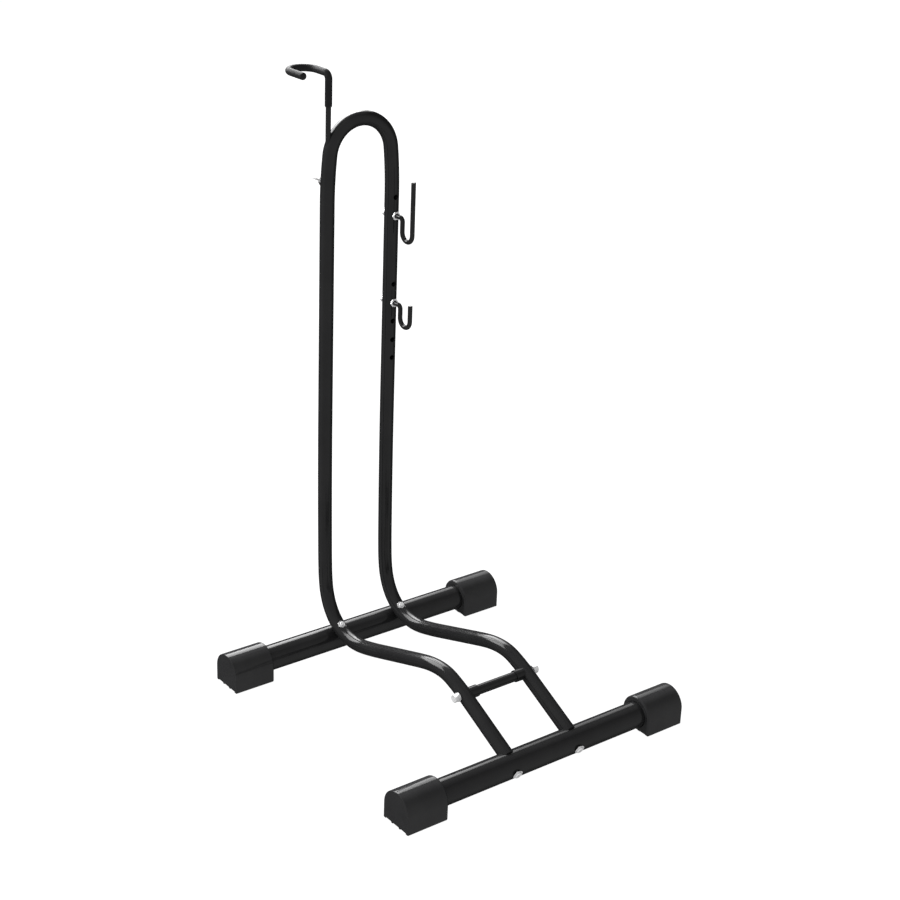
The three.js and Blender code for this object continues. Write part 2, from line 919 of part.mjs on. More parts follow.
screw = screw.add(
  prism(
    wing,
    V(CLAMP_X, hubY, CLAMP_Z).addScaledVector(wingFlat, -WING_THICK / 2),
    wingFlat,
    WING_THICK,
    wingSide,
  ),
);
add("thumb_screw", screw, "zinc");

// ---------------------------------------------------------------- the object
const rack = new THREE.Group();
rack.name = "floor_bike_rack";
for (const [name, s, material] of nodes) {
  const mesh = new THREE.Mesh(geometryOf(s), material);
  mesh.name = name;
  rack.add(mesh);
}
export default rack;
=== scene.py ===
# Floor bike rack: the visual model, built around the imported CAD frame.
# Lengths are written in millimetres here and go into the meshes in metres.
import bpy
import json
import math
import numpy as np
from mathutils import Matrix, Vector


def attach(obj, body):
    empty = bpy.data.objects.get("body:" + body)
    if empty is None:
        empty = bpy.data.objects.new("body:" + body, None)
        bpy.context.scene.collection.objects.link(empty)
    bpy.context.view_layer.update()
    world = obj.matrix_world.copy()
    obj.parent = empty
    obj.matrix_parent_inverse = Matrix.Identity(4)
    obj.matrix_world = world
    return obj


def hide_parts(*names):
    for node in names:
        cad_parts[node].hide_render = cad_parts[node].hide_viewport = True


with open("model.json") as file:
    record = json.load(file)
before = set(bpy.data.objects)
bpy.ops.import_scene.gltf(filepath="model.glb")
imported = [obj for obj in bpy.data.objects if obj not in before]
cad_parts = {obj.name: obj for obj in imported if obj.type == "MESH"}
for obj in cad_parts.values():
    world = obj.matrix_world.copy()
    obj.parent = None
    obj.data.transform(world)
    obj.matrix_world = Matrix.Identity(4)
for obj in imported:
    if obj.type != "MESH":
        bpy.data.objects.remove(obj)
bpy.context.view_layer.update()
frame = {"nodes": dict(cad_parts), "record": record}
UP = np.array([0.0, 0.0, 1.0])

# ------------------------------------------------------------------ dimensions
FRONT_Y, REAR_Y, RAIL_Z, RAIL_R = -286.1, 220.9, 29.0, 22.75
FOOT_END, FOOT_LENGTH, FOOT_HALF, FOOT_WALL = 290.6, 78.7, 32.4, 5.0
FOOT_EDGE, FOOT_RECESS = 3.6, 2.4
TUBE_R, LEG_X, UPRIGHT_Y = 12.5, 65.8, 253.1
ARCH_START_Z, ARCH_SIDE_R, ARCH_LEAN = 830.5, 792.9, 0.10426
LEG_SLOPE = math.radians(25.9)
LEG_REF = (-219.2, 73.7)
PROFILE = [
    (532.3, 480), (532.2, 420), (531.8, 360), (531.0, 290), (530.0, 233),
    (528.5, 170), (526.5, 138), (521.8, 111.5), (512.2, 88.9), (498.6, 71.6),
    (481.4, 59.3), (462.0, 51.9), (438.0, 48.9), (415.0, 51.2), (381.0, 59.8),
    (328.0, 76.6), (280.0, 92.3), (230.0, 108.3), (212.0, 113.2), (193.0, 116.6),
    (174.5, 117.7), (160.0, 116.3), (146.0, 112.6),
]
M8, NUT_AF, HOLE_R, FRONT_BOLT_OFFSET = 4.0, 13.0, 4.5, 6.3
REAR_BOLT_TILT = math.radians(55.4)
CROSS_Y, CROSS_R, CROSS_SLEEVE_R, CROSS_SLEEVE_IN = -164.7, 8.5, 10.3, 40.0
HOOK_R, HOOK_LEG_Y, HOOK_BEND_R = 4.1, 220.3, 14.2
HOOK_HOLES = [827.5, 795.7, 673.2, 640.0, 605.8, 571.4, 538.0]
UPPER_HOOK = dict(z=795.7, bottom=758.0, tip=865.0)
LOWER_HOOK = dict(z=640.0, bottom=604.8, tip=648.0)
ROD_X, ROD_R, ROD_LOW_Z, ROD_TOP_Z = -65.2, 4.5, 770.0, 1048.7
ROD_BEND, ROD_REACH, ROD_CURL, ROD_RETURN = 10.0, 24.65, 24.45, 37.1
SLEEVE_R, SLEEVE_LOW_Z = 6.14, 994.4
CLAMP_X, CLAMP_Z, CLAMP_R = -65.2, 867.0, 3.0
BOSS_OUT, BOSS_AF, WING_THICK = 16.0, 15.0, 3.0
GAP = 0.3


# ------------------------------------------------------------------ vectors and paths
def V(*a):
    return np.array(a, float)


def unit(v):
    v = np.asarray(v, float)
    return v / np.linalg.norm(v)


def side_of(d):
    d = unit(d)
    s = np.cross(UP, d) if abs(d[2]) < 0.9 else np.cross(V(1, 0, 0), d)
    return unit(s)


def arc(c, u, v, r, a0, a1, n):
    a = np.linspace(a0, a1, n + 1)[:, None]
    return c + r * np.cos(a) * u + r * np.sin(a) * v


def catmull(points, n):
    """Centripetal Catmull-Rom curve through points, n steps, ends extrapolated."""
    p = [np.asarray(q, float) for q in points]
    p = [2 * p[0] - p[1]] + p + [2 * p[-1] - p[-2]]
    spans = len(points) - 1
    out = []
    for k in range(n + 1):
        t = spans * k / n
        i = min(int(math.floor(t)), spans - 1)
        w = t - i
        x0, x1, x2, x3 = p[i : i + 4]
        d0, d1, d2 = (
            max(float(np.dot(b - a, b - a)) ** 0.25, 1e-4)
            for a, b in ((x0, x1), (x1, x2), (x2, x3))
        )
        t1 = ((x1 - x0) / d0 - (x2 - x0) / (d0 + d1) + (x2 - x1) / d1) * d1
        t2 = ((x2 - x1) / d1 - (x3 - x1) / (d1 + d2) + (x3 - x2) / d2) * d1
        out.append(
            x1 + t1 * w + (-3 * x1 + 3 * x2 - 2 * t1 - t2) * w * w
            + (2 * x1 - 2 * x2 + t1 + t2) * w**3
        )
    return np.array(out)


def thin(points, tolerance, longest):
    """Keeps the points of a dense path that it needs to stay within tolerance, no two further apart than longest."""
    keep, stack = {0, len(points) - 1}, [(0, len(points) - 1)]
    while stack:
        a, b = stack.pop()
        if b - a < 2:
            continue
        d = points[b] - points[a]
        length = np.linalg.norm(d)
        q = points[a + 1 : b] - points[a]
        t = np.clip(q @ d / max(length, 1e-9) ** 2, 0, 1)
        off = np.linalg.norm(q - t[:, None] * d, axis=1)
        i = int(off.argmax())
        if off[i] > tolerance or length > longest:
            m = a + 1 + i if off[i] > tolerance else (a + b) // 2
            keep.add(m)
            stack += [(a, m), (m, b)]
    return points[sorted(keep)]


def even(points, step):
    """The path again with its corners kept and points no further apart than step."""
    out = [points[0]]
    for a, b in zip(points[:-1], points[1:]):
        n = max(1, int(math.ceil(np.linalg.norm(b - a) / step)))
        out += [a + (b - a) * k / n for k in range(1, n + 1)]
    return np.array(out)


def frames(points, start=None):
    """Tangent and twist-free normal at each point of a path."""
    d = np.diff(points, axis=0)
    d /= np.linalg.norm(d, axis=1)[:, None]
    t = np.vstack([d[:1], d[:-1] + d[1:], d[-1:]])
    t /= np.linalg.norm(t, axis=1)[:, None]
    n = [side_of(t[0]) if start is None else unit(start - np.dot(start, t[0]) * t[0])]
    for a, b in zip(t[:-1], t[1:]):
        axis = np.cross(a, b)
        s, c = np.linalg.norm(axis), float(np.dot(a, b))
        v = n[-1]
        if s > 1e-12:
            axis = axis / s
            v = v * c + np.cross(axis, v) * s + axis * np.dot(axis, v) * (1 - c)
        v = v - np.dot(v, b) * b
        n.append(v / np.linalg.norm(v))
    n = np.array(n)
    return t, n, np.cross(t, n)


# ------------------------------------------------------------------ raw meshes, (points, faces)
def grid_faces(rows, n, first=0, closed=False):
    faces = []
    for i in range(rows if closed else rows - 1):
        a, b = first + i * n, first + ((i + 1) % rows) * n
        for j in range(n):
            k = (j + 1) % n
            faces.append((a + j, a + k, b + k, b + j))
    return faces


def loft(rings):
    """Closed skin over rings of equally many points, each end closed by a flat face."""
    n = len(rings[0])
    p = np.vstack(rings)
    f = grid_faces(len(rings), n)
    f.append(tuple(reversed(range(n))))
    f.append(tuple(range(len(p) - n, len(p))))
    return p, f


def sweep(points, r, n, start=None, ends=None):
    """Round tube along a path. ends = ((offset, radius), ...) rings added past each end, a list for the first and last."""
    t, u, v = frames(points, start)
    a = 2 * math.pi * (np.arange(n) + 0.5) / n
    unit_ring = lambda i: np.cos(a)[:, None] * u[i] + np.sin(a)[:, None] * v[i]
    rings = [points[i] + r * unit_ring(i) for i in range(len(points))]
    if ends:
        first, last = ends
        rings = (
            [points[0] - o * t[0] + q * unit_ring(0) for o, q in reversed(first)]
            + rings
            + [points[-1] + o * t[-1] + q * unit_ring(len(points) - 1) for o, q in last]
        )
    return loft(rings)


def lathe(outline, at, d, n, turn=0.0):
    """Turned solid: outline is (radius, height) from the axis and back to it, along d from at."""
    d = unit(d)
    u = side_of(d)
    v = np.cross(d, u)
    a = turn + 2 * math.pi * np.arange(n) / n
    ring = np.cos(a)[:, None] * u + np.sin(a)[:, None] * v
    body = [(r, h) for r, h in outline if r > 1e-9]
    p = [at + r * ring + h * d for r, h in body]
    verts = np.vstack(p)
    f = grid_faces(len(p), n)
    low = next(h for r, h in outline if r <= 1e-9)
    high = [h for r, h in outline if r <= 1e-9][-1]
    verts = np.vstack([verts, at + low * d, at + high * d])
    a0, a1 = len(verts) - 2, len(verts) - 1
    for j in range(n):
        k = (j + 1) % n
        f.append((a0, k, j))
        m = (len(p) - 1) * n
        f.append((a1, m + j, m + k))
    return verts, f


def turned_ring(outline, at, d, n):
    """Turned ring: outline is a closed loop of (radius, height), none on the axis, counter-clockwise with radius to the right."""
    d = unit(d)
    u = side_of(d)
    v = np.cross(d, u)
    a = 2 * math.pi * np.arange(n) / n
    ring = np.cos(a)[:, None] * u + np.sin(a)[:, None] * v
    p = np.vstack([at + r * ring + h * d for r, h in outline])
    return p, grid_faces(len(outline), n, closed=True)


def prism(outline, at, d, length, xdir):
    """Straight extrusion of a 2-D outline (counter-clockwise seen against d)."""
    d, x = unit(d), unit(xdir)
    y = np.cross(d, x)
    ring = np.array([at + q[0] * x + q[1] * y for q in outline])
    return loft([ring, ring + length * d])


def rounded(outline, r, steps=5):
    """A corner-rounded copy of an (a, b) outline: each inner corner becomes an arc of radius r."""
    out = []
    n = len(outline)
    for i in range(n):
        p, q, s = (np.array(outline[(i + k) % n], float) for k in (-1, 0, 1))
        a, b = unit(p - q), unit(s - q)
        half = math.acos(max(-1, min(1, float(np.dot(a, b))))) / 2
        rr = r[i] if hasattr(r, "__len__") else r
        if rr < 1e-6 or half > math.pi / 2 - 1e-3:
            out.append(tuple(q))
            continue
        cut = min(rr / math.tan(half), 0.49 * np.linalg.norm(p - q), 0.49 * np.linalg.norm(s - q))
        rr = cut * math.tan(half)
        c = q + unit(a + b) * rr / math.sin(half)
        e0, e1 = q + a * cut - c, q + b * cut - c
        total = math.atan2(e0[0] * e1[1] - e0[1] * e1[0], float(np.dot(e0, e1)))
        for k in range(steps + 1):
            w = total * k / steps
            out.append(tuple(c + np.array([
                e0[0] * math.cos(w) - e0[1] * math.sin(w),
                e0[0] * math.sin(w) + e0[1] * math.cos(w),
            ])))
    return out


# ------------------------------------------------------------------ objects
LIVE = bpy.context.scene.collection


def scratch(raw):
    """A throwaway object from a raw mesh, its faces turned outwards."""
    p, f = raw
    m = bpy.data.meshes.new("scratch")
    m.from_pydata([tuple(q) for q in np.asarray(p) * 0.001], [], f)
    m.validate()
    o = bpy.data.objects.new("scratch", m)
    LIVE.objects.link(o)
    import bmesh
    b = bmesh.new()
    b.from_mesh(m)
    bmesh.ops.remove_doubles(b, verts=b.verts, dist=1e-7)
    if b.calc_volume(signed=True) < 0:
        bmesh.ops.reverse_faces(b, faces=b.faces)
    b.to_mesh(m)
    b.free()
    return o


def bake_modifiers(o):
    dg = bpy.context.evaluated_depsgraph_get()
    m = bpy.data.meshes.new_from_object(o.evaluated_get(dg), depsgraph=dg)
    old = o.data
    o.modifiers.clear()
    o.data = m
    if old.users == 0:
        bpy.data.meshes.remove(old)


def combine(base, tool_raws, how="DIFFERENCE"):
    """Cuts, joins or crosses the raw meshes with the object base, one by one."""
    for raw in tool_raws:
        t = scratch(raw)
        m = base.modifiers.new("b", "BOOLEAN")
        m.operation = how
        m.solver = "MANIFOLD"
        m.object = t
        bake_modifiers(base)
        bpy.data.objects.remove(t)
    return base


def coords(o):
    co = np.empty(len(o.data.vertices) * 3, np.float32)
    o.data.vertices.foreach_get("co", co)
    return co.reshape(-1, 3).astype(float) * 1000.0


def largest_part(o):
    """Keeps only the biggest loose part of the mesh."""
    import bmesh
    b = bmesh.new()
    b.from_mesh(o.data)
    b.verts.ensure_lookup_table()
    seen, parts = set(), []
    for v in b.verts:
        if v.index in seen:
            continue
        part, todo = [], [v]
        seen.add(v.index)
        while todo:
            w = todo.pop()
            part.append(w)
            for e in w.link_edges:
                x = e.other_vert(w)
                if x.index not in seen:
                    seen.add(x.index)
                    todo.append(x)
        parts.append(part)
    parts.sort(key=len)
    for part in parts[:-1]:
        bmesh.ops.delete(b, geom=part, context="VERTS")
    b.to_mesh(o.data)
    b.free()


def soften(o, width, angle=32, segments=3):
    """Rounds the sharp edges of a hard piece."""
    m = o.modifiers.new("bevel", "BEVEL")
    m.width = width * 0.001
    m.segments = segments
    m.limit_method = "ANGLE"
    m.angle_limit = math.radians(angle)
    m.use_clamp_overlap = True
    m.harden_normals = False
    bake_modifiers(o)


def shade(o, angle=34, surfaces=()):
    """Smooth shading with sharp edges kept, weighted by area. surfaces are functions that give, for points, the distance
    to a known curved surface and its normal there, and faces that lie on it take exactly those normals."""
    me = o.data
    me.shade_smooth()
    me.set_sharp_from_angle(angle=math.radians(angle))
    w = o.modifiers.new("weighted", "WEIGHTED_NORMAL")
    w.keep_sharp = True
    w.weight = 60
    bake_modifiers(o)
    me = o.data
    if not surfaces:
        return
    normals = np.empty(len(me.loops) * 3, np.float32)
    me.corner_normals.foreach_get("vector", normals)
    normals = normals.reshape(-1, 3).astype(float)
    co = coords(o)
    loops = np.empty(len(me.loops), np.int32)
    me.loops.foreach_get("vertex_index", loops)
    starts = np.empty(len(me.polygons), np.int32)
    me.polygons.foreach_get("loop_start", starts)
    face_n = np.empty(len(me.polygons) * 3, np.float32)
    me.polygons.foreach_get("normal", face_n)
    face_n = face_n.reshape(-1, 3)
    face_of = np.repeat(np.arange(len(starts)), np.diff(np.append(starts, len(loops))))
    for surface in surfaces:
        off, n = surface(co)
        on = np.abs(off[loops]) < 0.03
        whole = np.minimum.reduceat(on.astype(int), starts).astype(bool)
        facing = np.einsum("ij,ij->i", n[loops], face_n[face_of]) > 0.6
        whole &= np.minimum.reduceat(facing.astype(int), starts).astype(bool)
        pick = whole[face_of]
        normals[pick] = n[loops][pick]
    me.normals_split_custom_set([tuple(x) for x in normals])


def along_path(path, r, sign=1.0):
    """Surface of a tube of radius r round a path, for shade()."""
    a, b = path[:-1], path[1:]
    d = b - a
    dd = np.einsum("ij,ij->i", d, d)

    def surface(co):
        off = np.empty(len(co))
        n = np.empty((len(co), 3))
        for k in range(0, len(co), 3000):
            q = co[k : k + 3000]
            t = np.clip(np.einsum("pij,ij->pi", q[:, None] - a, d) / dd, 0, 1)
            foot = a + t[..., None] * d
            gap = q[:, None] - foot
            g = np.linalg.norm(gap, axis=2)
            i = g.argmin(axis=1)
            pick = np.arange(len(q))
            off[k : k + 3000] = g[pick, i] - r
            n[k : k + 3000] = sign * gap[pick, i] / np.maximum(g[pick, i], 1e-9)[:, None]
        return off, n

    return surface


def finish_piece(o, name, body, material, stands_for):
    o.name = name
    o.data.name = name
    o.data.materials.clear()
    o.data.materials.append(material)
    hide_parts(*([stands_for] if isinstance(stands_for, str) else stands_for))
    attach(o, body)
    return o


# ------------------------------------------------------------------ materials
def nodes_of(name):
    m = bpy.data.materials.new(name)
    m.use_nodes = True
    t = m.node_tree
    t.nodes.clear()
    out = t.nodes.new("ShaderNodeOutputMaterial")
    bsdf = t.nodes.new("ShaderNodeBsdfPrincipled")
    t.links.new(bsdf.outputs[0], out.inputs[0])
    return m, t, bsdf


def noise(t, scale, detail=3.0, rough=0.55, coord=None, distortion=0.0):
    n = t.nodes.new("ShaderNodeTexNoise")
    n.inputs["Scale"].default_value = scale
    n.inputs["Detail"].default_value = detail
    n.inputs["Roughness"].default_value = rough
    n.inputs["Distortion"].default_value = distortion
    if coord is not None:
        t.links.new(coord, n.inputs["Vector"])
    return n


def ramp(t, source, low, high, a, b):
    r = t.nodes.new("ShaderNodeMapRange")
    r.inputs["From Min"].default_value = low
    r.inputs["From Max"].default_value = high
    r.inputs["To Min"].default_value = a
    r.inputs["To Max"].default_value = b
    t.links.new(source, r.inputs["Value"])
    return r.outputs[0]


def mix(t, factor, a, b):
    m = t.nodes.new("ShaderNodeMix")
    m.data_type = "RGBA"
    if factor is not None:
        t.links.new(factor, m.inputs["Factor"])
    for socket, value in (("A", a), ("B", b)):
        s = next(i for i in m.inputs if i.name == socket and i.type == "RGBA")
        if isinstance(value, tuple):
            s.default_value = (*value, 1.0)
        else:
            t.links.new(value, s)
    return next(o for o in m.outputs if o.type == "RGBA")


def bump(t, height, strength, distance, normal=None):
    b = t.nodes.new("ShaderNodeBump")
    b.inputs["Strength"].default_value = strength
    b.inputs["Distance"].default_value = distance
    t.links.new(height, b.inputs["Height"])
    if normal is not None:
        t.links.new(normal, b.inputs["Normal"])
    return b.outputs[0]


def object_coord(t):
    return t.nodes.new("ShaderNodeTexCoord").outputs["Object"]


def worn_edges(t, low=0.52, high=0.60):
    """Lightly rubbed convex edges, from the mesh's pointiness."""
    g = t.nodes.new("ShaderNodeNewGeometry")
    return ramp(t, g.outputs["Pointiness"], low, high, 0.0, 1.0)


def powder_coat():
    m, t, s = nodes_of("black_powder_coat")
    c = object_coord(t)
    peel = noise(t, 520.0, 2.0, 0.5, c)  # orange peel, about 2 mm
    grain = noise(t, 2600.0, 1.0, 0.5, c)
    cloud = noise(t, 22.0, 4.0, 0.6, c)
    smudge = noise(t, 60.0, 5.0, 0.65, c, 0.6)
    base = mix(t, ramp(t, cloud.outputs["Fac"], 0.35, 0.65, 0.0, 1.0), (0.0084, 0.0084, 0.0087), (0.0108, 0.0108, 0.0111))
    speck = ramp(t, grain.outputs["Fac"], 0.62, 0.74, 0.0, 0.35)
    base = mix(t, speck, base, (0.016, 0.016, 0.0163))
    t.links.new(base, s.inputs["Base Color"])
    rough = t.nodes.new("ShaderNodeMath")
    rough.operation = "ADD"
    t.links.new(ramp(t, smudge.outputs["Fac"], 0.3, 0.7, 0.11, 0.16), rough.inputs[0])
    t.links.new(ramp(t, grain.outputs["Fac"], 0.4, 0.7, 0.0, 0.02), rough.inputs[1])
    t.links.new(rough.outputs[0], s.inputs["Roughness"])
    n = bump(t, peel.outputs["Fac"], 0.03, 0.0006)
    n = bump(t, grain.outputs["Fac"], 0.015, 0.00015, n)
    t.links.new(n, s.inputs["Normal"])
    s.inputs["Specular IOR Level"].default_value = 0.14
    return m


def moulded_plastic():
    m, t, s = nodes_of("black_moulded_plastic")
    c = object_coord(t)
    texture = noise(t, 1500.0, 2.0, 0.6, c)  # fine spark-eroded mould texture
    cloud = noise(t, 30.0, 4.0, 0.6, c)
    rub = noise(t, 140.0, 5.0, 0.7, c)
    base = mix(t, ramp(t, cloud.outputs["Fac"], 0.35, 0.65, 0.0, 1.0), (0.0155, 0.0155, 0.016), (0.0185, 0.0185, 0.019))
    base = mix(t, ramp(t, rub.outputs["Fac"], 0.64, 0.78, 0.0, 0.3), base, (0.032, 0.032, 0.033))
    t.links.new(base, s.inputs["Base Color"])
    t.links.new(ramp(t, rub.outputs["Fac"], 0.3, 0.7, 0.09, 0.13), s.inputs["Roughness"])
    t.links.new(bump(t, texture.outputs["Fac"], 0.03, 0.0002), s.inputs["Normal"])
    s.inputs["Specular IOR Level"].default_value = 0.12
    return m


def soft_vinyl():
    m, t, s = nodes_of("black_soft_vinyl")
    c = object_coord(t)
    fine = noise(t, 1900.0, 2.0, 0.6, c)
    wave = noise(t, 90.0, 3.0, 0.5, c)
    base = mix(t, ramp(t, wave.outputs["Fac"], 0.35, 0.65, 0.0, 1.0), (0.0105, 0.0105, 0.011), (0.0145, 0.0145, 0.015))
    t.links.new(base, s.inputs["Base Color"])
    t.links.new(ramp(t, wave.outputs["Fac"], 0.3, 0.7, 0.36, 0.48), s.inputs["Roughness"])
    n = bump(t, wave.outputs["Fac"], 0.15, 0.0008)
    t.links.new(bump(t, fine.outputs["Fac"], 0.10, 0.00015, n), s.inputs["Normal"])
    s.inputs["Specular IOR Level"].default_value = 0.03
    return m


def zinc_plate(name, low, high):
    m, t, s = nodes_of(name)
    c = object_coord(t)
    spangle = noise(t, 700.0, 3.0, 0.6, c)
    cloud = noise(t, 180.0, 4.0, 0.6, c)
    base = mix(t, ramp(t, cloud.outputs["Fac"], 0.35, 0.65, 0.0, 1.0), (low, low, low * 1.01), (high, high, high * 0.998))
    t.links.new(base, s.inputs["Base Color"])
    s.inputs["Metallic"].default_value = 0.6
    t.links.new(ramp(t, spangle.outputs["Fac"], 0.3, 0.7, 0.42, 0.56), s.inputs["Roughness"])
    t.links.new(bump(t, spangle.outputs["Fac"], 0.06, 0.00015), s.inputs["Normal"])
    return m


def turned_steel():
    m, t, s = nodes_of("turned_steel")
    c = object_coord(t)
    rings = noise(t, 900.0, 2.0, 0.5, c)
    cloud = noise(t, 120.0, 3.0, 0.6, c)
    base = mix(t, ramp(t, cloud.outputs["Fac"], 0.35, 0.65, 0.0, 1.0), (0.36, 0.36, 0.37), (0.46, 0.46, 0.47))
    t.links.new(base, s.inputs["Base Color"])
    s.inputs["Metallic"].default_value = 1.0
    t.links.new(ramp(t, rings.outputs["Fac"], 0.3, 0.7, 0.3, 0.45), s.inputs["Roughness"])
    t.links.new(bump(t, rings.outputs["Fac"], 0.15, 0.0001), s.inputs["Normal"])
    return m


def moulded_nylon():
    m, t, s = nodes_of("black_nylon")
    c = object_coord(t)
    fine = noise(t, 1200.0, 2.0, 0.6, c)
    cloud = noise(t, 80.0, 3.0, 0.6, c)
    base = mix(t, ramp(t, cloud.outputs["Fac"], 0.35, 0.65, 0.0, 1.0), (0.026, 0.026, 0.027), (0.034, 0.034, 0.035))
    t.links.new(base, s.inputs["Base Color"])
    t.links.new(ramp(t, fine.outputs["Fac"], 0.3, 0.7, 0.42, 0.55), s.inputs["Roughness"])
    t.links.new(bump(t, fine.outputs["Fac"], 0.1, 0.0001), s.inputs["Normal"])
    return m


PAINT, CAPS, VINYL, ZINC, DULL_ZINC, STEEL, NYLON = (
    powder_coat(), moulded_plastic(), soft_vinyl(), zinc_plate("bright_zinc", 0.62, 0.73),
    zinc_plate("dull_zinc", 0.38, 0.46), turned_steel(), moulded_nylon()
)
BY_SLOT = {
    "black_paint": PAINT, "cap_plastic": CAPS, "sleeve_vinyl": VINYL,
    "zinc": ZINC, "steel": STEEL, "nylon": NYLON,
}
for row in frame["record"]["subparts"]:
    node = frame["nodes"][row["node"]]
    node.data.materials.clear()
    node.data.materials.append(BY_SLOT[row["material_slot"]])
    node.data.shade_smooth()
    node.data.set_sharp_from_angle(angle=math.radians(32))

# ------------------------------------------------------------------ the bent tube's axis
arch_cx = LEG_X - ARCH_SIDE_R
side_end = V(arch_cx + ARCH_SIDE_R * math.cos(ARCH_LEAN), 0, ARCH_START_Z + ARCH_SIDE_R * math.sin(ARCH_LEAN))
CROWN_R = side_end[0] / math.cos(ARCH_LEAN)
CROWN_Z = side_end[2] - CROWN_R * math.sin(ARCH_LEAN)


def leg_z(y):
    return LEG_REF[1] + (y - LEG_REF[0]) * math.tan(LEG_SLOPE)


leg_end_y = FRONT_Y - 14
flat = catmull(
    [V(0, y - 279.2, z) for y, z in PROFILE]
    + [V(0, y - 279.2, leg_z(y - 279.2)) for y in (117, 95, 60, 26)]
    + [V(0, leg_end_y, leg_z(leg_end_y))],
    6000,
)
profile = thin(flat, 0.012, 14.0)
X1, Z1 = V(1, 0, 0), V(0, 0, 1)
on_leg = lambda s: profile + V(s * LEG_X, 0, 0)
mirror = lambda p: p * V(-1, 1, 1)
arch_right = np.vstack([
    even(np.array([V(LEG_X, UPRIGHT_Y, 480), V(LEG_X, UPRIGHT_Y, ARCH_START_Z)]), 14.0)[1:-1],
    arc(V(arch_cx, UPRIGHT_Y, ARCH_START_Z), X1, Z1, ARCH_SIDE_R, 0, ARCH_LEAN, 12),
])
crown = arc(V(0, UPRIGHT_Y, CROWN_Z), X1, Z1, CROWN_R, ARCH_LEAN, math.pi - ARCH_LEAN, 78)[1:-1]
tube_axis = np.vstack([
    on_leg(1)[::-1], arch_right, crown, mirror(arch_right)[::-1], on_leg(-1),
])
rail_axis = V(0, REAR_Y, RAIL_Z)
nearest = flat[np.linalg.norm(flat - rail_axis, axis=1).argmin()]
OVER_RAIL = float(np.linalg.norm(nearest - rail_axis))
rear_up = V(0, -math.cos(REAR_BOLT_TILT), math.sin(REAR_BOLT_TILT))
leg_down = V(0, -math.cos(LEG_SLOPE), -math.sin(LEG_SLOPE))
leg_up = -leg_down
leg_normal = V(0, -math.sin(LEG_SLOPE), math.cos(LEG_SLOPE))
CROSS_Z = leg_z(CROSS_Y)


def pin(at, d, length, r, n=48):
    """Plain round cutter or shank."""
    return lathe([(0, 0), (r, 0), (r, length), (0, length)], at, d, n)


def hole_cutter(at, d, tube_dir, tube_r, r, rim=0.5, inner=0.0, n=64):
    """Cutter for one wall of a tube. at is on the tube's axis, d points out through the wall and tube_dir runs along
    the tube. Its wall is straight up to the rim, which opens out evenly along the saddle."""
    d = unit(d)
    x = unit(tube_dir - np.dot(tube_dir, d) * d)
    y = np.cross(d, x)
    a = 2 * math.pi * np.arange(n) / n

    def ring(radius, level):
        # level is the distance past the tube's surface, on the saddle
        p = radius * np.cos(a)[:, None] * x + radius * np.sin(a)[:, None] * y
        h = np.sqrt(np.maximum(tube_r**2 - (radius * np.sin(a)) ** 2, 0)) + level
        return at + p + h[:, None] * d

    rings = [at + inner * d + r * (np.cos(a)[:, None] * x + np.sin(a)[:, None] * y)]
    rings.append(ring(r, -rim))
    for k in range(1, 5):
        w = k / 4 * math.pi / 2 * 0.86
        rings.append(ring(r + rim * (1 - math.cos(w)), -rim + rim * math.sin(w)))
    rings.append(ring(r + rim * 1.6, rim * 0.7))
    rings.append(at + (tube_r + 6) * d + (r + rim * 1.6) * (np.cos(a)[:, None] * x + np.sin(a)[:, None] * y))
    return loft(rings)


SIDES = (("left", -1), ("right", 1))

# ------------------------------------------------------------------ the bent tube
tube = scratch(sweep(tube_axis, TUBE_R, 64, X1))
cuts = [sweep(tube_axis, TUBE_R - 1.4, 28, X1)]
cuts.append(pin(V(-120, FRONT_Y, RAIL_Z), X1, 240, RAIL_R + 0.12, 160))
cuts.append(prism(
    [(-60, -60), (19.5, -60), (19.5, 60), (-60, 60)],
    V(-120, FRONT_Y - 20, RAIL_Z), X1, 240, V(0, 1, 0)))
for z in HOOK_HOLES:
    for d in (V(0, -1, 0), V(0, 1, 0)):
        cuts.append(hole_cutter(V(LEG_X, UPRIGHT_Y, z), d, Z1, TUBE_R, HOOK_R + 0.35))
for _, s in SIDES:
    at = V(s * LEG_X, REAR_Y, RAIL_Z)
    over = at + OVER_RAIL * rear_up
    tangent = np.cross(rear_up, X1)
    cuts.append(pin(at + 20 * rear_up, rear_up, 18, HOLE_R))
    cuts.append(hole_cutter(over, rear_up, tangent, TUBE_R, NUT_AF / math.sqrt(3) + 0.6, 0.5, 1.0))
    cuts.append(pin(V(s * LEG_X - 20, CROSS_Y, CROSS_Z), X1, 40, HOLE_R))
cuts.append(pin(V(ROD_X, UPRIGHT_Y, 918), Z1, 50, ROD_R + 0.45, 64))
cuts.append(pin(V(CLAMP_X, UPRIGHT_Y + 3, CLAMP_Z), V(0, 1, 0), 20, CLAMP_R + 0.5))
combine(tube, cuts)
shade(tube, 40, (
    along_path(tube_axis, TUBE_R),
    lambda co: (
        np.hypot(co[:, 1] - FRONT_Y, co[:, 2] - RAIL_Z) - (RAIL_R + 0.12),
        -np.stack([0 * co[:, 0], co[:, 1] - FRONT_Y, co[:, 2] - RAIL_Z], 1)
        / np.maximum(np.hypot(co[:, 1] - FRONT_Y, co[:, 2] - RAIL_Z), 1e-9)[:, None],
    ),
))
finish_piece(tube, "bent_tube", "frame", PAINT, "u_frame")


# ------------------------------------------------------------------ rails
def rail_surface(y):
    def surface(co):
        r = np.hypot(co[:, 1] - y, co[:, 2] - RAIL_Z)
        n = np.stack([0 * r, co[:, 1] - y, co[:, 2] - RAIL_Z], 1) / np.maximum(r, 1e-9)[:, None]
        return r - RAIL_R, n
    return surface


rail_end = FOOT_END - FOOT_WALL - GAP


